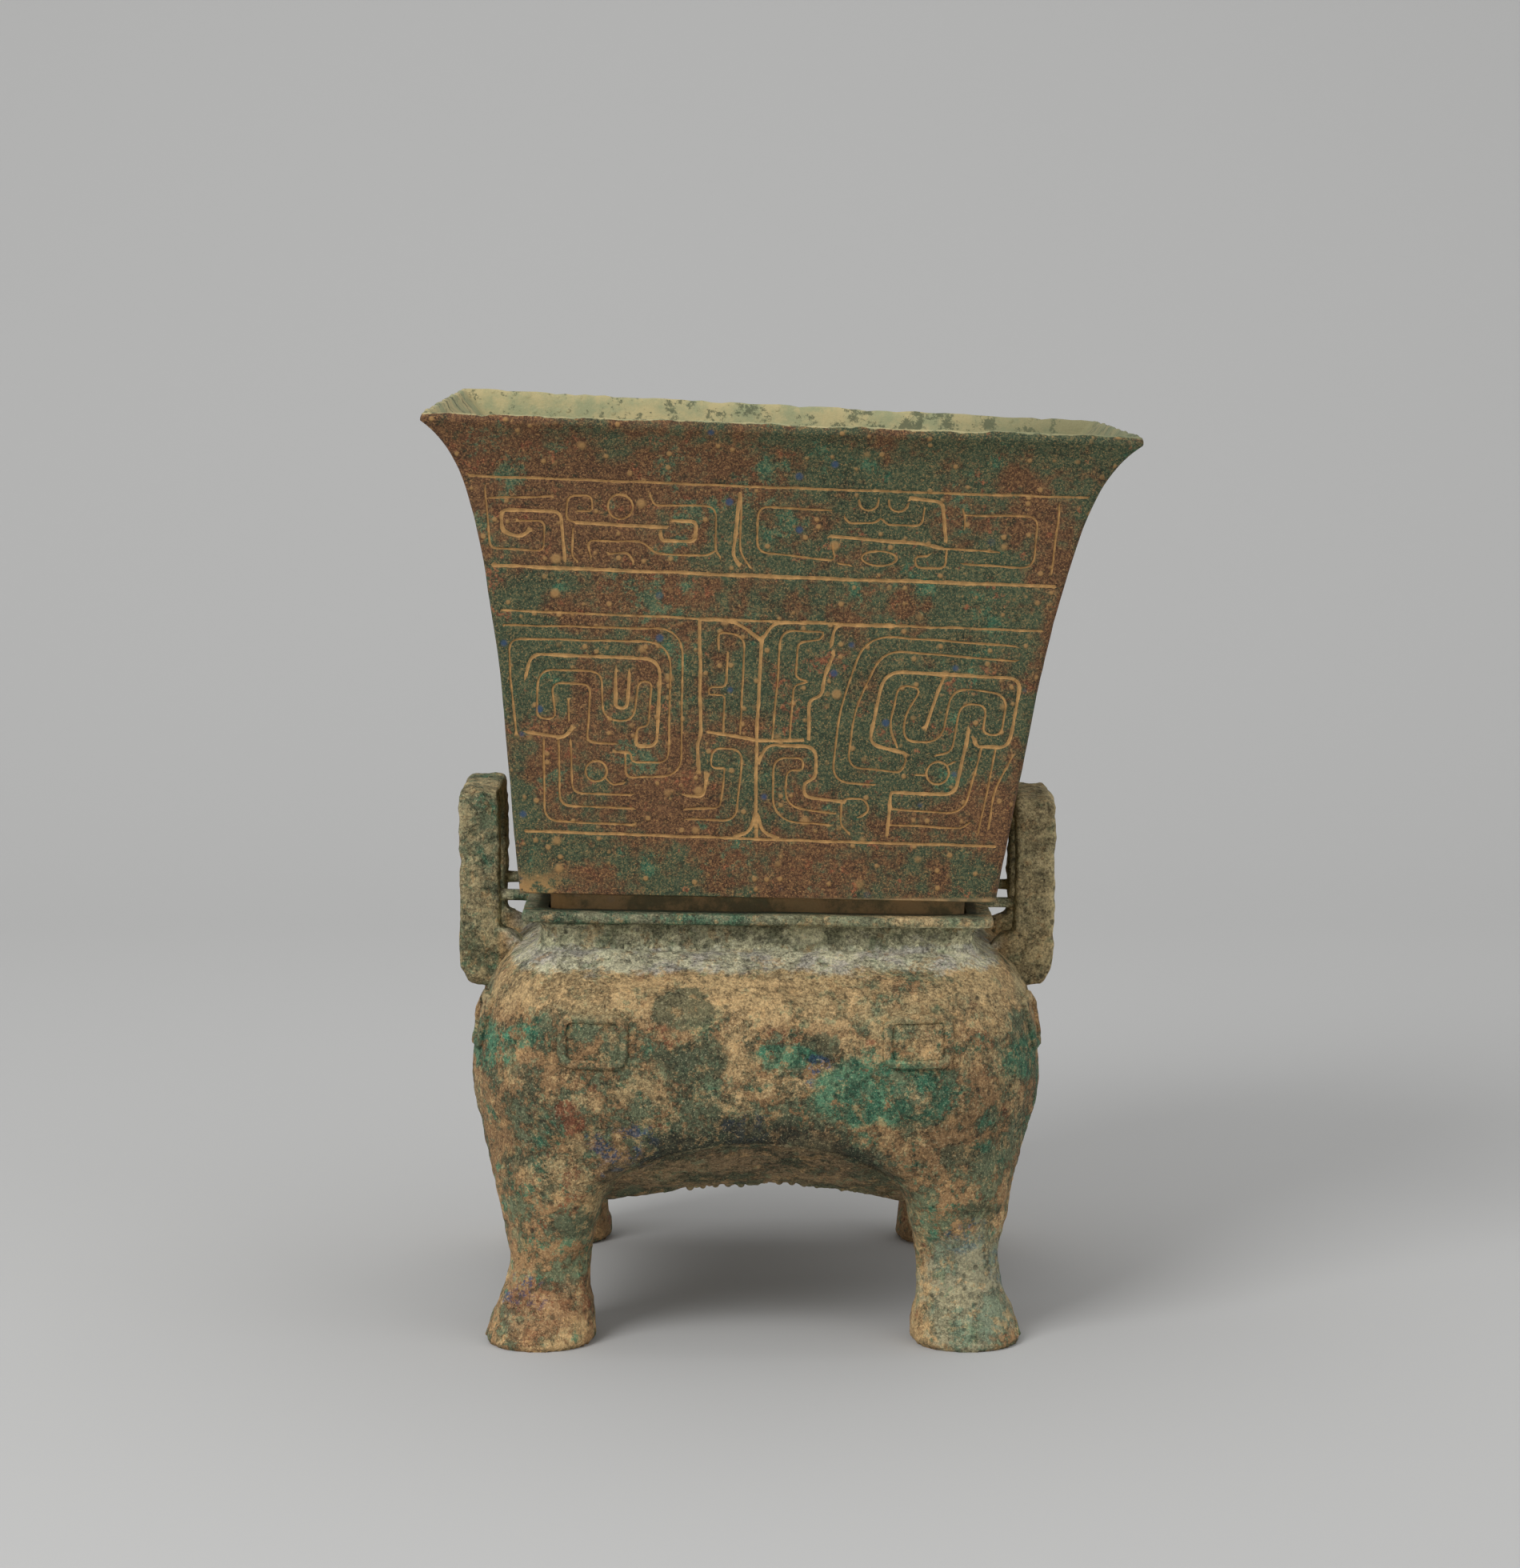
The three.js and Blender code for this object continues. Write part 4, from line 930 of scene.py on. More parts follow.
def handle(boiler, side):
    """Upright loop with a hooked foot that runs into the shoulder."""
    inner = boiler.width / 2 - HANDLE_INSET
    outer, shoulder, top, corner = inner + boiler.handle_bar, boiler.height, boiler.handle_top, 0.012
    bend = 0.014
    throat, foot = shoulder - bend, shoulder - 2 * bend
    quarter = np.linspace(0, math.pi / 2, 8)
    hook = [(inner, top), (inner, shoulder)]
    hook += [(inner - bend * math.sin(a), throat + bend * math.cos(a)) for a in quarter[1:]]
    hook += [(inner - 0.022, throat - 0.010), (inner + 0.0045, foot)]
    hook += [(outer - bend * 0.9 * (1 - math.sin(a)), foot + bend * (1 - math.cos(a))) for a in quarter[1:]]
    hook += [(outer, top - 0.003), (outer - 0.003, top)]
    low = shoulder - 0.06

    def arch(half_width, height, radius, bottom):
        turn = [(half_width - radius + radius * math.cos(a), height - radius + radius * math.sin(a))
                for a in quarter]
        return [(-half_width, bottom), (half_width, bottom)] + turn + [(-u, v) for u, v in turn[::-1]]

    loop = prism("handle", [(side * x, z) for x, z in hook], "y",
                 -HANDLE_HALF - 0.002, HANDLE_HALF + 0.002)
    combine(loop, prism("outline", arch(HANDLE_HALF, top, corner, low), "x", -0.3, 0.3), "INTERSECT")
    gap = arch(HANDLE_HALF - HANDLE_SIDE_BAR, top - HANDLE_SIDE_BAR, corner * 0.7, shoulder - 0.016)
    combine(loop, prism("gap", gap, "x", -0.3, 0.3), "DIFFERENCE")
    modify(loop, "REMESH", mode="VOXEL", voxel_size=0.0017)
    modify(loop, "SMOOTH", factor=0.5, iterations=4)
    points, normals = get_points(loop.data), get_normals(loop.data)
    push = rough(points, 0.02, 0.0008, 3, side) + rough(points, 0.0065, 0.0008, 3, 2 + side)
    move_points(loop.data, lambda p: p + normals * push[:, None])
    return loop


def stay_rod(boiler, side, end):
    shell = Shell()
    level = boiler.flange_bottom + boiler.flange / 2
    start, stop = boiler.neck_width / 2 + boiler.overhang - 0.0025, boiler.width / 2 - 0.0085
    rings = []
    for t in np.linspace(0, 1, 7):
        radius = ROD_RADIUS * (1 + 0.25 * (2 * t - 1) ** 4)
        x = side * (start + (stop - start) * t)
        angles = np.linspace(0, 2 * math.pi, 13)[:-1] * side
        rings.append(np.array([(x, end * ROD_SPREAD + radius * math.cos(a), level + radius * math.sin(a))
                               for a in angles]))
    shell.loft(rings, cap_start=True, cap_end=True)
    return shell.to_object("stay_rod")


def eye_ring(skin, centre, level, face, name):
    """Raised ring of rounded-square plan that follows the skin it is pressed on."""
    tree = BVHTree.FromObject(skin, bpy.context.evaluated_depsgraph_get())
    flat, normal = perimeter(EYE_HALF_WIDTH, EYE_HALF_HEIGHT, EYE_CORNER, 5, 4, 6)
    inward = on_face(face, np.array([0.0]), np.array([-1.0]), np.array([0.0]))[0]
    rings = []
    for (u, v), (nu, nv) in zip(flat, normal):
        row = []
        for step, rise in EYE_SECTION:
            start = on_face(face, np.array([centre + u + nu * step]), np.array([0.2]),
                            np.array([level + v + nv * step]))[0]
            hit, facing, *_ = tree.ray_cast(Vector(start), Vector(inward))
            row.append(hit + facing * (rise * (1 + 0.2 * noise.noise(hit * 200))))
        rings.append(np.array(row))
    shell = Shell()
    rings.append(rings[0])
    shell.loft(rings)
    return shell.to_object(name)


def flatten_soles(mesh, reach=0.0012):
    """Keeps the soles flat on the floor."""
    points = get_points(mesh)
    points[:, 2] = np.where(points[:, 2] < reach, 0.0, points[:, 2])
    mesh.vertices.foreach_set("co", points.ravel())


def boiler_skin(boiler):
    """The body with its legs, as uneven as a cast skin."""
    piece = body_solid(boiler, 0, "bronze_boiler")
    modify(piece, "REMESH", mode="VOXEL", voxel_size=boiler.fineness)
    modify(piece, "SMOOTH", factor=0.5, iterations=9)
    points, normals = get_points(piece.data), get_normals(piece.data)
    quiet = smoothstep(0.0, 0.012, points[:, 2])
    push = (rough(points, 0.06, 0.0011, 3, 1.0) + rough(points, 0.014, 0.0008, 4, 5.0)
            + rough(points, 0.0055, 0.0006, 2, 6.0))
    move_points(piece.data, lambda p: p + normals * (push * quiet)[:, None])
    flatten_soles(piece.data)
    return piece


def boiler_hollow(boiler):
    """The hollow of the body and its legs, with the collar's stepped bore."""
    hollow = body_solid(boiler, boiler.wall, "hollow")
    modify(hollow, "REMESH", mode="VOXEL", voxel_size=0.0042)
    modify(hollow, "SMOOTH", factor=0.5, iterations=3)
    bore_x, bore_y = boiler.neck_width / 2 - BORE_WALL, boiler.neck_depth / 2 - BORE_WALL
    seat, top = boiler.height + SEAT_ABOVE_SHOULDER, boiler.flange_bottom + boiler.flange
    mouth = [(-0.004, boiler.height * 0.9, 0.0045), (-0.004, seat, 0.0045), (0, seat, 0.006),
             (0, top - 0.001, 0.006), (0.001, top + 0.004, 0.007)]
    bore = Shell()
    bore.loft([level_ring(bore_x + grow, bore_y + grow, radius, z) for grow, z, radius in mouth],
              cap_start=True, cap_end=True)
    return combine(hollow, bore.to_object("bore"), "UNION")


def build_boiler(context):
    boiler = context.scene.vessel_boiler
    piece = boiler_skin(boiler)
    rings = []
    for face in range(4):
        rings += [eye_ring(piece, side * EYE_SPREAD[face % 2], boiler.eye_level, face,
                           f"eye_{face}_{side}") for side in (-1, 1)]
    for part in [collar(boiler), *(handle(boiler, side) for side in (-1, 1)),
                 *(stay_rod(boiler, side, end) for side in (-1, 1) for end in (-1, 1)), *rings]:
        combine(piece, part, "UNION")

    hollow = boiler_hollow(boiler)
    tree = BVHTree.FromObject(hollow, context.evaluated_depsgraph_get())
    combine(piece, hollow, "DIFFERENCE")

    inside = [float(tree.find_nearest(v.co)[3] < 0.0004) for v in piece.data.vertices]
    for name in ("inside", "clay"):
        if name in piece.data.attributes:
            piece.data.attributes.remove(piece.data.attributes[name])
    piece.data.attributes.new("inside", "FLOAT", "POINT").data.foreach_set("value", inside)
    stiff_above = boiler.flange_bottom + boiler.flange
    move_points(piece.data, lambda p: warp(p, context, stiff_above))
    smooth_shade(piece, math.radians(55))
    return piece


# Mould seams and beads, made by geometry nodes along paths on the boiler's skin


# The dark arch on each side above its opening: level of its crown, half its span, how far its ends
# drop and how sharply it bends
ARCH_CROWN, ARCH_HALF_SPAN, ARCH_DROP, ARCH_BEND = 0.104, 0.07, 0.024, 2.4


def seam_tree(material):
    """A ragged ridge along a path, with small beads scattered on it."""
    tree = bpy.data.node_groups.new("mould_seam", "GeometryNodeTree")
    face = tree.interface
    face.new_socket("Geometry", in_out="INPUT", socket_type="NodeSocketGeometry")
    for label, default in (("Ridge radius", 0.0009), ("Bead size", 0.0012), ("Bead spacing", 0.006),
                           ("Waver", 0.0008)):
        face.new_socket(label, in_out="INPUT", socket_type="NodeSocketFloat").default_value = default
    face.new_socket("Seed", in_out="INPUT", socket_type="NodeSocketInt").default_value = 3
    face.new_socket("Geometry", in_out="OUTPUT", socket_type="NodeSocketGeometry")
    nodes, links = tree.nodes, tree.links

    def node(kind, inputs=None, **settings):
        made = nodes.new(kind)
        for key, value in settings.items():
            setattr(made, key, value)
        for key, value in (inputs or {}).items():
            if isinstance(value, bpy.types.NodeSocket):
                links.new(value, made.inputs[key])
            else:
                made.inputs[key].default_value = value
        return made

    source = nodes.new("NodeGroupInput").outputs
    curve = node("GeometryNodeMeshToCurve", {"Mesh": source["Geometry"]})
    even = node("GeometryNodeResampleCurve", {"Curve": curve.outputs[0], "Length": 0.0016}, mode="LENGTH")
    wobble = node("ShaderNodeTexNoise", {"Scale": 160.0, "Detail": 2.0})
    centred = node("ShaderNodeVectorMath", {0: wobble.outputs["Color"], 1: (0.5, 0.5, 0.5)},
                   operation="SUBTRACT")
    offset = node("ShaderNodeVectorMath", {0: centred.outputs[0], "Scale": source["Waver"]},
                  operation="SCALE")
    moved = node("GeometryNodeSetPosition", {"Geometry": even.outputs[0], "Offset": offset.outputs[0]})
    grain = node("ShaderNodeTexNoise", {"Scale": 420.0, "Detail": 2.0})
    spread = node("ShaderNodeMapRange", {"Value": grain.outputs["Fac"], "From Min": 0.35, "From Max": 0.7,
                                         "To Min": 0.35, "To Max": 1.5})
    radius = node("ShaderNodeMath", {0: spread.outputs["Result"], 1: source["Ridge radius"]},
                  operation="MULTIPLY")
    sized = node("GeometryNodeSetCurveRadius", {"Curve": moved.outputs[0], "Radius": radius.outputs[0]})
    profile = node("GeometryNodeCurvePrimitiveCircle", {"Resolution": 7, "Radius": 1.0})
    ridge = node("GeometryNodeCurveToMesh", {"Curve": sized.outputs[0], "Profile Curve": profile.outputs[0],
                                             "Fill Caps": True})
    if "Scale" in ridge.inputs:
        links.new(radius.outputs[0], ridge.inputs["Scale"])
    dots = node("GeometryNodeCurveToPoints", {"Curve": moved.outputs[0], "Length": source["Bead spacing"]},
                mode="LENGTH")
    bead = node("GeometryNodeMeshIcoSphere", {"Radius": source["Bead size"], "Subdivisions": 2})
    size = node("FunctionNodeRandomValue", {"Seed": source["Seed"]}, data_type="FLOAT")
    size.inputs[2].default_value, size.inputs[3].default_value = 0.3, 1.3
    spots = node("GeometryNodeInstanceOnPoints", {"Points": dots.outputs["Points"],
                                                  "Instance": bead.outputs["Mesh"],
                                                  "Scale": size.outputs[1]})
    joined = nodes.new("GeometryNodeJoinGeometry")
    links.new(ridge.outputs[0], joined.inputs[0])
    links.new(spots.outputs[0], joined.inputs[0])
    real = node("GeometryNodeRealizeInstances", {"Geometry": joined.outputs[0]})
    painted = node("GeometryNodeSetMaterial", {"Geometry": real.outputs[0], "Material": material})
    links.new(painted.outputs[0], nodes.new("NodeGroupOutput").inputs[0])
    return tree


def on_skin(tree, points, sink_by):
    """Drops points onto the skin along their own directions."""
    landed = []
    for point, direction in points:
        hit, facing, *_ = tree.ray_cast(Vector(point), Vector(direction).normalized())
        if hit:
            landed.append(hit - facing * sink_by)
    return landed


def seam_paths(skin, context):
    """Corner seams from the collar to the feet, a faint one down each wide face, and the arch's edge,
    each as (points, ridge radius, bead size)."""
    tree = BVHTree.FromObject(skin, context.evaluated_depsgraph_get())
    middle = float(warp(np.array([[0, 0, 0.1]]), context)[0, 0])
    paths = {}
    for number, (sx, sy) in enumerate(((-1, -1), (1, -1), (1, 1), (-1, 1))):
        rays = [((middle + sx * 0.4, sy * 0.4, z), (-sx, -sy, 0))
                for z in np.linspace(0.035, 0.182, 50)]
        paths[f"corner_seam_{number}"] = (on_skin(tree, rays, 0.0004), 0.0011, 0.0006)
    for number, sy in enumerate((-1, 1)):
        rays = [((middle, sy * 0.4, z), (0, -sy, 0)) for z in np.linspace(0.112, 0.182, 26)]
        paths[f"face_seam_{number}"] = (on_skin(tree, rays, 0.0005), 0.0007, 0.0004)
        rays = [((middle + ARCH_HALF_SPAN * t, sy * 0.4, ARCH_CROWN - ARCH_DROP * abs(t) ** ARCH_BEND),
                 (0, -sy, 0)) for t in np.linspace(-1, 1, 60)]
        paths[f"arch_flash_{number}"] = (on_skin(tree, rays, 0.0003), 0.0010, 0.0010)
    rays = [((middle + 0.05 * t + 0.018, -0.088 + 0.001 * math.sin(6 * t), -0.1), (0, 0, 1))
            for t in np.linspace(-1, 1, 40)]
    paths["ridge_beads"] = (on_skin(tree, rays, 0.0002), 0.0011, 0.0017)
    return paths


def build_seams(context, skin, material):
    tree = seam_tree(material)
    sockets = {item.name: item.identifier for item in tree.interface.items_tree if item.in_out == "INPUT"}
    meshes = []
    for name, (points, radius, bead) in seam_paths(skin, context).items():
        if len(points) < 3:
            continue
        mesh = bpy.data.meshes.new(name)
        mesh.from_pydata([tuple(p) for p in points], [(i, i + 1) for i in range(len(points) - 1)], [])
        path = bpy.data.objects.new(name, mesh)
        context.scene.collection.objects.link(path)
        modifier = path.modifiers.new("Seam", "NODES")
        modifier.node_group = tree
        modifier[sockets["Ridge radius"]] = radius
        modifier[sockets["Bead size"]] = bead
        meshes.append(settle(path))
    first = meshes[0]
    with context.temp_override(active_object=first, selected_editable_objects=meshes,
                               selected_objects=meshes):
        bpy.ops.object.join()
    first.name = "mould_seams"
    return first


# Finishes


class Field:
    """A shader socket that takes part in Python arithmetic."""

    def __init__(self, finish, socket):
        self.finish, self.socket = finish, socket

    def math(self, operation, *others, clamp=False):
        values = {i: v for i, v in enumerate((self, *others))}
        return self.finish.node("ShaderNodeMath", {"operation": operation, "use_clamp": clamp}, values)

    def __add__(self, other):
        return self.math("ADD", other)

    def __sub__(self, other):
        return self.math("SUBTRACT", other)

    def __mul__(self, other):
        return self.math("MULTIPLY", other)

    def __rsub__(self, other):
        return (self * -1.0) + other

    __radd__, __rmul__ = __add__, __mul__

    def over(self, low, high):
        """0 below low, 1 above high, smooth between. Low above high turns it round."""
        if low > high:
            return 1 - self.over(high, low)
        values = {"Value": self, "From Min": low, "From Max": high}
        return self.finish.node("ShaderNodeMapRange", {"interpolation_type": "SMOOTHSTEP"}, values)

    def __abs__(self):
        return self.math("ABSOLUTE")

    def __pow__(self, other):
        return self.math("POWER", other)

    def most(self, other):
        return self.math("MAXIMUM", other)

    def least(self, other):
        return self.math("MINIMUM", other)


class Finish:
    """A node material under construction."""

    def __init__(self, name):
        self.material = bpy.data.materials.new(name)
        self.material.use_nodes = True
        self.tree = self.material.node_tree
        self.shader = self.tree.nodes["Principled BSDF"]
        self.place = self.node("ShaderNodeTexCoord", out="Object")

    def node(self, kind, settings=None, values=None, out=0):
        made = self.tree.nodes.new(kind)
        for key, value in (settings or {}).items():
            setattr(made, key, value)
        for key, value in (values or {}).items():
            if isinstance(value, Field):
                self.tree.links.new(value.socket, made.inputs[key])
            else:
                made.inputs[key].default_value = value
        return Field(self, made.outputs[out])

    def noise(self, scale, detail=4.0, roughness=0.6, shift=0.0, distortion=0.0):
        place = self.node("ShaderNodeMapping", None,
                          {"Vector": self.place, "Location": (shift, shift * 0.7, -shift)})
        return self.node("ShaderNodeTexNoise", None, {"Vector": place, "Scale": scale, "Detail": detail,
                                                      "Roughness": roughness, "Distortion": distortion})

    def dots(self, scale, share, size, shift=0.0):
        """Round spots in a share of the cells of a pattern, each of its own size."""
        place = self.node("ShaderNodeMapping", None,
                          {"Vector": self.place, "Location": (shift, -shift, shift)})
        cell = {"Vector": place, "Scale": scale, "Randomness": 1.0}
        distance = self.node("ShaderNodeTexVoronoi", None, cell, "Distance")
        tint = self.node("ShaderNodeTexVoronoi", None, cell, "Color")
        chance = self.node("ShaderNodeSeparateColor", None, {0: tint})
        return distance.over(size, size * 0.45) * chance.over(1 - share, 1 - share * 0.7)

    def near(self, centre, radius, flat=1.0, ragged=0.5):
        """1 round a place on the vessel, with a ragged edge. A flat above 1 squashes the patch."""
        from_centre = self.node("ShaderNodeVectorMath", {"operation": "SUBTRACT"},
                                {0: self.place, 1: centre})
        squashed = self.node("ShaderNodeVectorMath", {"operation": "MULTIPLY"},
                             {0: from_centre, 1: (1, 0.6, flat)})
        away = self.node("ShaderNodeVectorMath", {"operation": "LENGTH"}, {0: squashed}, "Value")
        uneven = (self.noise(0.9 / radius, 7.0, 0.72, centre[0] * 90) - 0.5) * (radius * ragged * 5)
        return (away + uneven).over(radius, radius * 0.72)

    def axis(self, letter):
        return self.node("ShaderNodeSeparateXYZ", None, {0: self.place}, letter)

    def value(self, name):
        return self.node("ShaderNodeAttribute", {"attribute_name": name}, out="Fac")

    def mix(self, amount, below, above):
        colours = {0: amount, 6: below if isinstance(below, Field) else (*below, 1),
                   7: above if isinstance(above, Field) else (*above, 1)}
        return self.node("ShaderNodeMix", {"data_type": "RGBA"}, colours, 2)

    def blotched(self, base, tint, share, limits, scale, detail, roughness, shift):
        """A colour with ragged blotches of a tint, where a noise rises from one limit to the other."""
        return self.mix(self.noise(scale, detail, roughness, shift).over(*limits) * share, base, tint)

    def shaded(self, base, factor):
        """A colour made darker or lighter by a factor."""
        return self.node("ShaderNodeVectorMath", {"operation": "SCALE"}, {0: base, "Scale": factor})

    def bump(self, height, strength, distance, under=None):
        values = {"Height": height, "Strength": strength, "Distance": distance}
        if under:
            values["Normal"] = under
        return self.node("ShaderNodeBump", None, values)

    def finish(self, colour_field, roughness, normal, metallic=0.0):
        for label, value in (("Base Color", colour_field), ("Roughness", roughness), ("Normal", normal)):
            self.tree.links.new(value.socket, self.shader.inputs[label])
        self.shader.inputs["Metallic"].default_value = metallic
        self.shader.inputs["Specular IOR Level"].default_value = 0.35
        return self.material


def scaled(colour_value, factor):
    return tuple(min(1.0, c * factor) for c in colour_value)


# Levels where the steamer's foot ends (below it the foot is painted lighter against the box's shadow) and
# where the crust on its lower left corner ends
FOOT_TOP, CORNER_CRUST_TOP = 0.2190, 0.236


def steamer_bronze(patina):
    f = Finish("steamer_bronze_patina")
    broad, middle, fine = f.noise(11, 5, 0.6), f.noise(48, 8, 0.75, 3), f.noise(760, 4, 0.72, 7)
    blend = (broad * 0.6 + middle * 0.4).over(0.455, 0.53)
    base = f.mix(blend, patina.red_brown, patina.dark_green)
    base = f.blotched(base, scaled(patina.dark_green, 0.55), 0.75, (0.56, 0.64), 95, 7, 0.8, 11)
    base = f.blotched(base, patina.cuprite, 0.8, (0.57, 0.65), 75, 7, 0.8, 15)
    base = f.blotched(base, scaled(patina.malachite, 0.75), 0.6, (0.56, 0.63), 26, 8, 0.8, 19)
    sand = f.noise(1400, 2, 0.6, 23)
    base = f.shaded(base, fine.over(0.36, 0.64) * 0.85 + sand.over(0.40, 0.62) * 0.45
                    + middle.over(0.36, 0.62) * 0.35 + 0.28)
    base = f.mix(fine.over(0.50, 0.66) * 0.38, base, scaled(patina.clay, 0.70))
    base = f.mix(sand.over(0.58, 0.68) * 0.6, base, scaled(patina.clay, 0.95))
    base = f.blotched(base, scaled(patina.dark_green, 0.3), 0.6, (0.56, 0.64), 260, 6, 0.8, 27)
    specks = f.dots(170, 0.35, 0.30, 2).most(f.dots(75, 0.22, 0.24, 5))
    base = f.mix(specks * 0.75, base, scaled(patina.clay, 0.85))
    base = f.mix(f.dots(120, 0.05, 0.3, 9) * 0.8, base, patina.azurite)
    broken = f.noise(300, 3, 0.7, 31)
    clay = f.value("clay")
    filled = (clay + (broken - 0.5) * 1.0).over(0.30, 0.62)
    clay_tint = f.mix(f.noise(240, 3, 0.6, 35).over(0.35, 0.7), scaled(patina.clay, 0.78),
                      scaled(patina.clay, 1.2))
    base = f.mix(filled * 0.88, base, clay_tint)
    # Painted light: below the ledge the underside and foot keep their own brown-ochre, painted lighter so
    # that it shows in the box's shadow.
    foot = f.axis("Z").over(FOOT_TOP, FOOT_TOP - 0.0015)
    base = f.mix(foot * 0.85, base, f.mix(middle.over(0.42, 0.58), (0.40, 0.26, 0.12), (0.18, 0.14, 0.07)))
    crusted = f.axis("Z").over(CORNER_CRUST_TOP, CORNER_CRUST_TOP - 0.014)
    crusted = crusted * f.axis("X").over(-0.092, -0.116)
    base = f.mix(crusted * f.noise(150, 5, 0.75, 37).over(0.44, 0.54) * 0.85, base,
                 scaled(patina.clay, 0.85))
    inside = f.value("inside")
    lining = f.mix(f.noise(40, 5, 0.7, 39).over(0.4, 0.62), (0.46, 0.39, 0.20), (0.30, 0.31, 0.17))
    lining = f.blotched(lining, scaled(patina.olive, 0.7), 0.85, (0.53, 0.58), 75, 8, 0.8, 43)
    lining = f.mix(f.axis("X").over(0.06, 0.16) * 0.6, lining, scaled(patina.olive, 0.8))
    base = f.mix((inside + (f.noise(130, 5, 0.7, 47) - 0.5) * 1.1).over(0.35, 0.6), base, lining)
    roughness = 0.62 + fine * 0.3
    grain = f.bump(fine + f.noise(900, 2, 0.6, 51) * 0.5, 0.55, 0.0006)
    normal = f.bump(specks + filled * 0.6 + middle * 0.8, 0.6, 0.0007, grain)
    return f.finish(base, roughness, normal, 0.12)


# Larger patches on the boiler's front, each with the place of its middle and its radius
OLIVE_PATCHES = [((-0.046, -0.128, 0.170), 0.016), ((-0.044, -0.137, 0.146), 0.020),
                 ((0.02, -0.137, 0.152), 0.014), ((0.086, -0.13, 0.097), 0.010),
                 ((-0.10, -0.12, 0.06), 0.014), ((0.094, -0.115, 0.068), 0.010)]
MALACHITE_PATCHES = [((0.050, -0.137, 0.130), 0.040), ((0.002, -0.137, 0.148), 0.015),
                     ((-0.150, -0.10, 0.146), 0.028), ((0.122, -0.10, 0.142), 0.024),
                     ((-0.125, -0.12, 0.155), 0.012), ((-0.075, -0.105, 0.028), 0.011)]
AZURITE_PATCHES = [((-0.075, -0.13, 0.102), 0.020), ((-0.02, -0.137, 0.112), 0.014),
                   ((0.018, -0.137, 0.140), 0.012), ((-0.126, -0.118, 0.026), 0.014),
                   ((0.118, -0.112, 0.040), 0.020), ((0.09, -0.11, 0.056), 0.014)]
# How far to the left of the vessel's middle the warp leaves the body
BODY_SHIFT = 0.0139


def boiler_crust(f, patina, base, flakes):
    """Ragged layers of tan, olive, red and green over the brown bronze."""
    base = f.blotched(base, patina.tan, 0.75, (0.52, 0.55), 27, 9, 0.8, 12)
    base = f.blotched(base, scaled(patina.olive, 0.6), 0.75, (0.565, 0.595), 38, 8, 0.8, 15)
    base = f.blotched(base, scaled(patina.cuprite, 0.8), 0.65, (0.59, 0.62), 60, 7, 0.8, 16)
    base = f.blotched(base, scaled(patina.malachite, 0.8), 0.75, (0.57, 0.60), 44, 8, 0.8, 20)
    shoulder = (f.axis("Z") + (flakes - 0.5) * 0.035).over(0.158, 0.172)
    return f.mix(shoulder * f.noise(30, 6, 0.75, 22).over(0.36, 0.48) * 0.85, base, patina.tan)


def boiler_patches(f, patina, base, flakes):
    """The larger patches, each in its own place."""
    for centre, radius in OLIVE_PATCHES:
        base = f.mix(f.near(centre, radius, 1.5) * 0.8, base, scaled(patina.olive, 0.62))
    broken = f.noise(70, 8, 0.8, 26).over(0.43, 0.50)
    green = f.mix(flakes.over(0.4, 0.6), scaled(patina.malachite, 0.75), scaled(patina.malachite, 1.15))
    for centre, radius in MALACHITE_PATCHES:
        base = f.mix(f.near(centre, radius, 2.0) * broken * 0.8, base, green)
    specked = f.noise(120, 5, 0.75, 24).over(0.49, 0.56)
    for centre, radius in AZURITE_PATCHES:
        base = f.mix(f.near(centre, radius, 1.4) * specked * 0.8, base, patina.azurite)
    base = f.mix(f.near((-0.103, -0.134, 0.118), 0.010) * broken * 0.8, base, patina.cuprite)
    base = f.mix(f.near((-0.110, -0.115, 0.018), 0.024, 1.3) * 0.5, base, scaled(patina.cuprite, 0.5))
    return f.mix(f.near((0.092, -0.118, 0.024), 0.030, 0.8) * 0.6, base, (0.21, 0.25, 0.175))


def boiler_arches(f, patina, base, flakes, from_middle):
    """A dark band along the edge of each side's arch, where the wall turns under, and brown and green
    streaks under it.
    """
    across = from_middle.least(abs(f.axis("Y")))
    above = f.axis("Z") - ARCH_CROWN + (across * (1 / ARCH_HALF_SPAN)) ** ARCH_BEND * ARCH_DROP
    arch_dark_band = above.over(-0.004, 0.001) * (above + (flakes - 0.5) * 0.05).over(0.018, 0.004)
    film = f.mix(flakes.over(0.45, 0.55), patina.dark, (0.055, 0.065, 0.038))
    base = f.mix(arch_dark_band * across.over(0.085, 0.06) * 0.85, base, film)
    under = above.over(0.0, -0.004) * across.over(0.082, 0.070)
    streaks = f.mix(flakes.over(0.42, 0.56), (0.075, 0.085, 0.048), (0.20, 0.14, 0.075))
    return f.mix(under * 0.8, base, streaks)


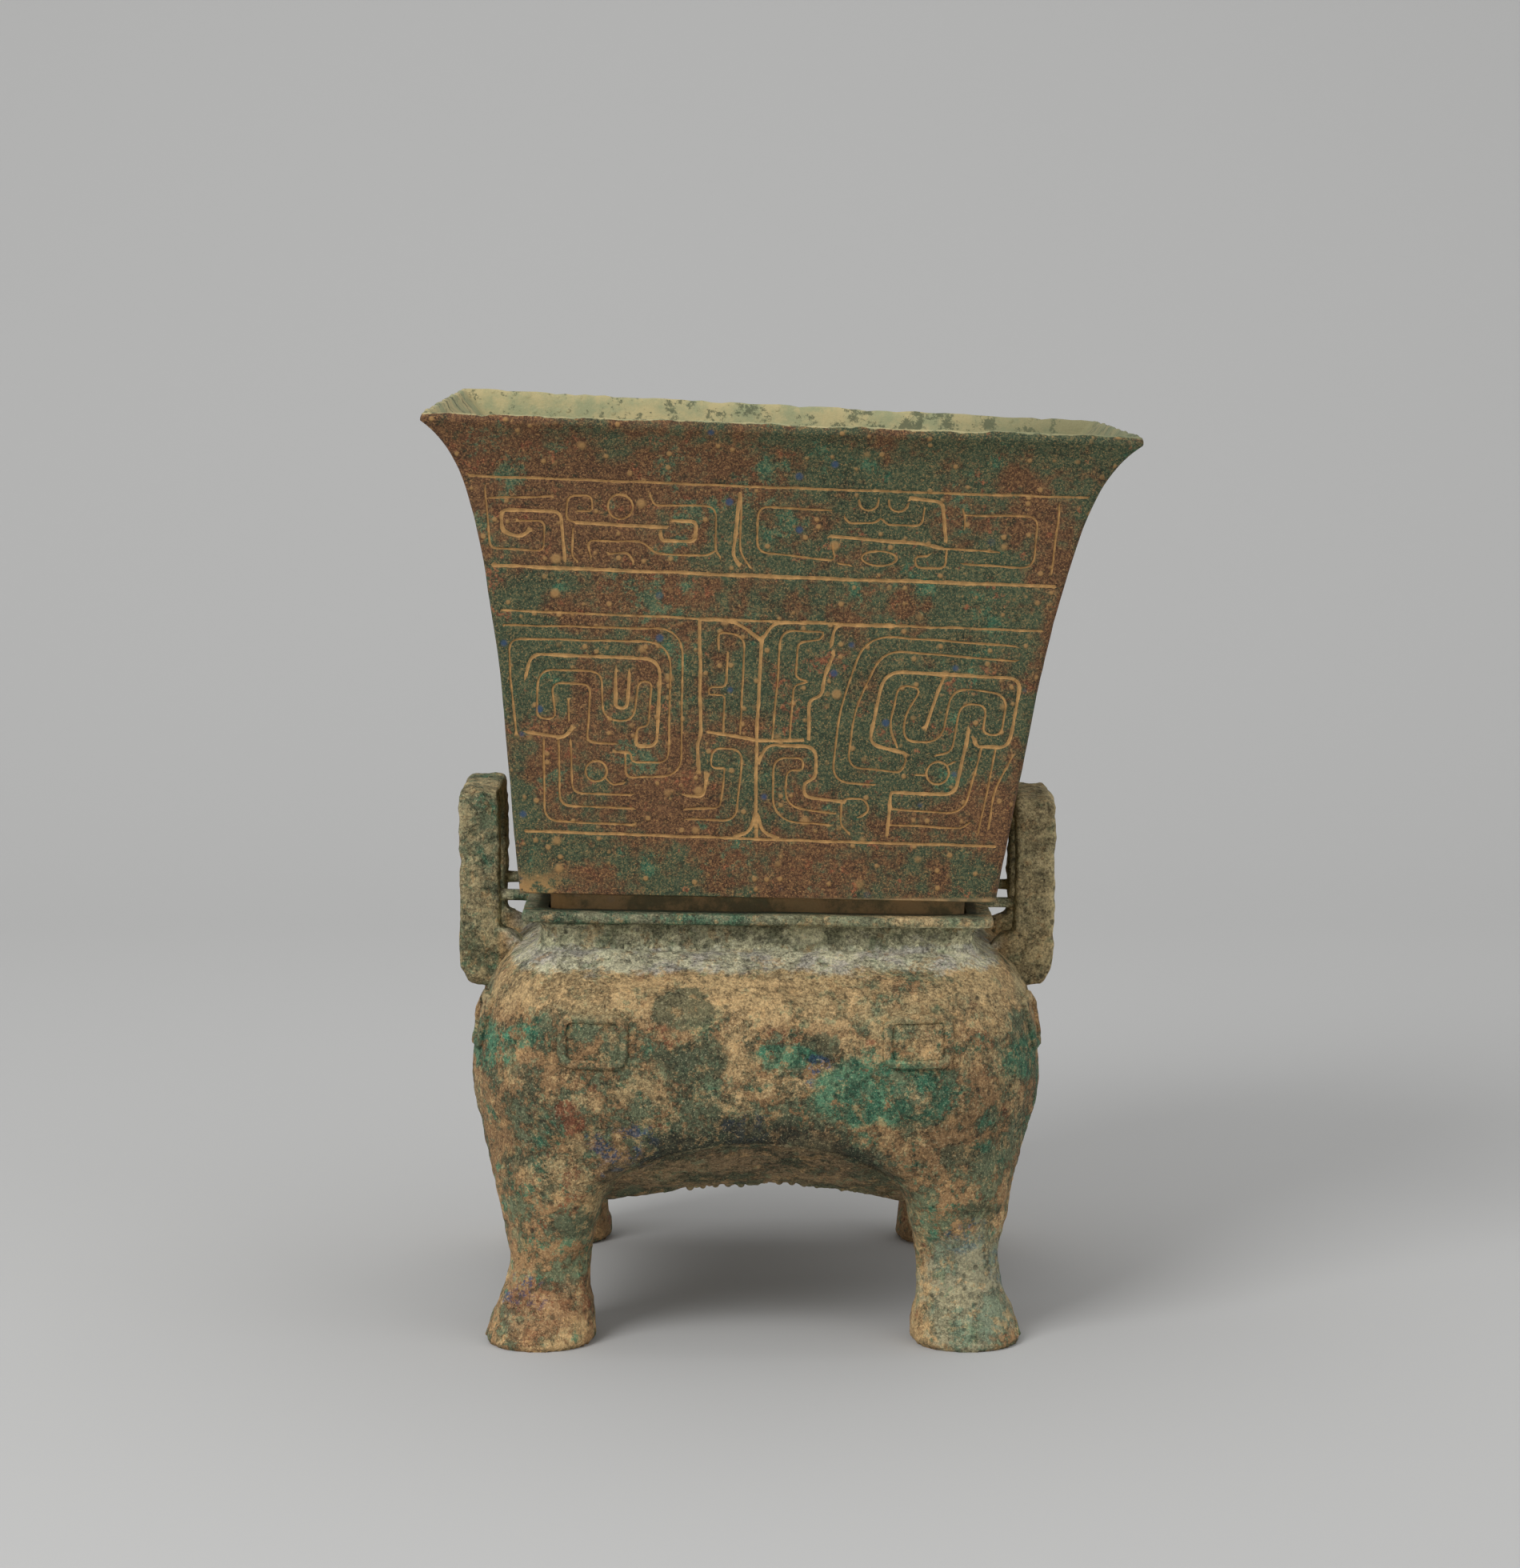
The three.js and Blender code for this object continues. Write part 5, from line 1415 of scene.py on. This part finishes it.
def boiler_neck(f, patina, base, flakes, from_middle):
    """The pale neck, the crust on the shoulder's edge and the flange."""
    x, z = f.axis("X"), f.axis("Z")
    wall = f.mix(f.noise(90, 7, 0.75, 27).over(0.42, 0.58), (0.64, 0.61, 0.39), (0.30, 0.31, 0.19))
    wall = f.blotched(wall, scaled(patina.pale, 0.8), 0.7, (0.56, 0.66), 190, 4, 0.7, 29)
    base = f.mix(z.over(0.190, 0.1925) * 0.9, base, wall)
    ledge = z + (f.noise(85, 6, 0.75, 28) - 0.5) * 0.014
    line = ledge.over(0.1825, 0.1855) * ledge.over(0.1935, 0.1915) * from_middle.over(0.128, 0.118)
    crust = f.mix(f.noise(70, 5, 0.7, 30).over(0.45, 0.6), (0.52, 0.51, 0.35), (0.45, 0.43, 0.37))
    base = f.mix(line * 0.85, base, crust)
    flange = z.over(0.2035, 0.2045) * from_middle.over(0.124, 0.119)
    torn = flakes.over(0.42, 0.55)
    left = f.mix(torn, scaled(patina.malachite, 0.75), (0.15, 0.15, 0.09))
    right = f.mix(torn, patina.tan, patina.olive)
    return f.mix(flange * 0.85, base, f.mix(x.over(-0.03, 0.05), left, right))


def boiler_handles(f, patina, base, from_middle):
    """The handles: dark green and tan, greener on the left, yellower on the right."""
    x = f.axis("X")
    bar = f.mix(f.noise(55, 8, 0.8, 33).over(0.44, 0.55), (0.125, 0.145, 0.082), (0.40, 0.32, 0.17))
    bar = f.mix(f.noise(48, 7, 0.8, 34).over(0.54, 0.61) * x.over(0.0, -0.05) * 0.85, bar,
                scaled(patina.malachite, 0.85))
    bar = f.mix(x.over(0.0, 0.05) * 0.7, bar, (0.50, 0.39, 0.20))
    zone = from_middle.over(0.1265, 0.1295) * f.axis("Z").over(0.163, 0.170)
    return f.mix(zone * 0.9, base, bar)


def boiler_bronze(patina):
    f = Finish("boiler_bronze_patina")
    z = f.axis("Z")
    from_middle = abs(f.axis("X") + BODY_SHIFT)
    patches, flakes = f.noise(16, 8, 0.72, 1), f.noise(46, 8, 0.78, 4)
    grain, sand = f.noise(640, 4, 0.72, 8), f.noise(1300, 2, 0.6, 36)
    crumbs = f.noise(210, 6, 0.78, 38)
    # Pointiness, used for painted shade in hollows and a painted highlight on sharp edges.
    painted_shade_and_highlight = f.node("ShaderNodeNewGeometry", out="Pointiness")

    crust = (patches * 0.45 + flakes * 0.55).over(0.475, 0.51)
    base = boiler_crust(f, patina, f.mix(crust, patina.olive, patina.brown), flakes)
    base = boiler_patches(f, patina, base, flakes)
    base = boiler_arches(f, patina, base, flakes, from_middle)
    base = boiler_neck(f, patina, base, flakes, from_middle)
    base = boiler_handles(f, patina, base, from_middle)
    base = f.blotched(base, (0.50, 0.31, 0.135), 0.5, (0.55, 0.62), 125, 5, 0.75, 17)
    base = f.blotched(base, (0.17, 0.225, 0.125), 0.5, (0.56, 0.63), 105, 5, 0.75, 18)

    film = grain.over(0.37, 0.63) * 0.72 + sand.over(0.38, 0.63) * 0.34 + crumbs.over(0.38, 0.60) * 0.42
    # The z term makes the legs lighter towards the floor.
    film = film + flakes.over(0.38, 0.60) * 0.28 + z.over(0.10, 0.065) * 0.5 + 0.15
    base = f.shaded(base, film)
    dust = f.mix(f.noise(60, 3, 0.6, 40).over(0.4, 0.6), (0.66, 0.49, 0.26), (0.56, 0.53, 0.34))
    base = f.mix(sand.over(0.57, 0.67) * grain.over(0.43, 0.55) * 0.6, base, dust)
    base = f.mix(crumbs.over(0.42, 0.36) * 0.38, base, patina.dark)
    # Painted shade and highlight: hollows and creases round the eye rings, seams and rims are painted dark,
    # and sharp edges are painted light.
    base = f.mix(painted_shade_and_highlight.over(0.485, 0.445) * 0.7, base, patina.dark)
    base = f.mix(painted_shade_and_highlight.over(0.53, 0.60) * 0.3, base, (0.44, 0.34, 0.18))
    pits = f.dots(190, 0.25, 0.32, 3)
    base = f.mix(pits * 0.6, base, patina.dark)
    hollow = f.mix(flakes.over(0.4, 0.6), (0.11, 0.10, 0.06), (0.07, 0.10, 0.06))
    base = f.mix(f.value("inside").over(0.4, 0.6) * 0.85, base, hollow)
    fine = f.bump(grain + sand * 0.6, 0.9, 0.0011)
    normal = f.bump(flakes * 1.6 + crust * 0.5 - pits * 0.5, 0.85, 0.0014, fine)
    return f.finish(base, 0.66 + grain * 0.28, normal, 0.06)


def stage_grey(tone):
    f = Finish("studio_grey")
    base = f.mix(f.noise(2, 1, 0.5), scaled(tone, 0.995), scaled(tone, 1.005))
    f.tree.links.new(base.socket, f.shader.inputs["Base Color"])
    f.shader.inputs["Roughness"].default_value = 0.9
    f.shader.inputs["Specular IOR Level"].default_value = 0.1
    return f.material


# The studio


# How far behind the vessel the floor turns up, the radius of that turn, and how high, how far to
# each side and how far forward the sweep reaches
SWEEP_BACK, SWEEP_RADIUS, SWEEP_TOP, SWEEP_HALF_WIDTH, SWEEP_FRONT = 1.1, 1.3, 5.0, 5.0, -4.0
# Area lights: name, place, size and power
LIGHTS = [("key", (-1.7, -2.0, 2.4), 1.5, 61), ("fill", (2.2, -1.6, 1.5), 2.2, 11),
          ("top", (0.1, 0.6, 2.8), 2.0, 18)]
LIT_POINT = Vector((0, 0, 0.22))
SKY_STRENGTH = 0.52
SENSOR = 36


def build_sweep(context):
    profile = [(SWEEP_FRONT, 0.0), (SWEEP_BACK, 0.0)]
    profile += [(SWEEP_BACK + SWEEP_RADIUS * math.sin(a), SWEEP_RADIUS - SWEEP_RADIUS * math.cos(a))
                for a in np.linspace(0.1, math.pi / 2, 16)]
    profile.append((SWEEP_BACK + SWEEP_RADIUS, SWEEP_TOP))
    verts = [(x, y, z) for y, z in profile for x in (-SWEEP_HALF_WIDTH, SWEEP_HALF_WIDTH)]
    faces = [(2 * i, 2 * i + 1, 2 * i + 3, 2 * i + 2) for i in range(len(profile) - 1)]
    mesh = bpy.data.meshes.new("studio_sweep")
    mesh.from_pydata(verts, [], faces)
    mesh.materials.append(stage_grey(context.scene.vessel_stage.backdrop))
    sweep = bpy.data.objects.new("studio_sweep", mesh)
    smooth_shade(sweep, None)
    context.scene.collection.objects.link(sweep)


def build_lights(context):
    for name, place, size, power in LIGHTS:
        light = bpy.data.lights.new(name, "AREA")
        light.size, light.energy = size, power
        lamp = bpy.data.objects.new(name, light)
        lamp.location = place
        lamp.rotation_euler = (LIT_POINT - Vector(place)).to_track_quat("-Z", "Y").to_euler()
        context.scene.collection.objects.link(lamp)
    world = bpy.data.worlds.new("studio")
    world.use_nodes = True
    world.node_tree.nodes["Background"].inputs["Color"].default_value = (1, 1, 1, 1)
    world.node_tree.nodes["Background"].inputs["Strength"].default_value = SKY_STRENGTH
    context.scene.world = world
    context.scene.view_settings.view_transform = "Standard"


def build_camera(context):
    stage = context.scene.vessel_stage
    camera = bpy.data.cameras.new("camera")
    camera.lens, camera.sensor_width, camera.sensor_fit = stage.lens, SENSOR, "AUTO"
    eye = bpy.data.objects.new("camera", camera)
    eye.location = (stage.camera_side, -stage.camera_back, stage.camera_height)
    eye.rotation_euler = (math.pi / 2 - stage.camera_down, 0, 0)
    context.scene.collection.objects.link(eye)
    context.scene.camera = eye


# Operators for the two castings and the stage


class VESSEL_OT_steamer(bpy.types.Operator):
    """Build the flaring steamer box with its sunk dragons"""
    bl_idname = "vessel.steamer"
    bl_label = "Build steamer box"

    def execute(self, context):
        finish_piece(build_steamer(context), ["steamer_box"],
                     steamer_bronze(context.scene.vessel_patina))
        return {"FINISHED"}


class VESSEL_OT_boiler(bpy.types.Operator):
    """Build the boiler with its legs, collar, handles and mould seams"""
    bl_idname = "vessel.boiler"
    bl_label = "Build boiler"

    def execute(self, context):
        material = boiler_bronze(context.scene.vessel_patina)
        body = build_boiler(context)
        finish_piece(body, BOILER_NODES, material)
        seams = build_seams(context, body, material)
        smooth_shade(seams, None)
        finish_piece(seams, [], material)
        return {"FINISHED"}


class VESSEL_OT_stage(bpy.types.Operator):
    """Build the pale floor, the soft studio light and the camera"""
    bl_idname = "vessel.stage"
    bl_label = "Build stage"

    def execute(self, context):
        build_sweep(context)
        build_lights(context)
        build_camera(context)
        return {"FINISHED"}


class VESSEL_PT_panel(bpy.types.Panel):
    """Steamer sizes, colours and builders"""
    bl_idname = "VESSEL_PT_panel"
    bl_label = "Bronze steamer"
    bl_space_type = "VIEW_3D"
    bl_region_type = "UI"
    bl_category = "Steamer"

    def draw(self, context):
        for operator in (VESSEL_OT_stage, VESSEL_OT_steamer, VESSEL_OT_boiler):
            self.layout.operator(operator.bl_idname)
        for key, group in SETTINGS.items():
            box = self.layout.box()
            for field in group.__annotations__:
                box.prop(getattr(context.scene, key), field)


CLASSES = (*SETTINGS.values(), VESSEL_OT_steamer, VESSEL_OT_boiler, VESSEL_OT_stage, VESSEL_PT_panel)


def register():
    for each in CLASSES:
        bpy.utils.register_class(each)
    for key, group in SETTINGS.items():
        setattr(bpy.types.Scene, key, PointerProperty(type=group))


def unregister():
    for key in SETTINGS:
        delattr(bpy.types.Scene, key)
    for each in reversed(CLASSES):
        bpy.utils.unregister_class(each)


def main():
    register()
    bpy.ops.vessel.stage()
    bpy.ops.vessel.steamer()
    bpy.ops.vessel.boiler()


if __name__ == "__main__":
    main()
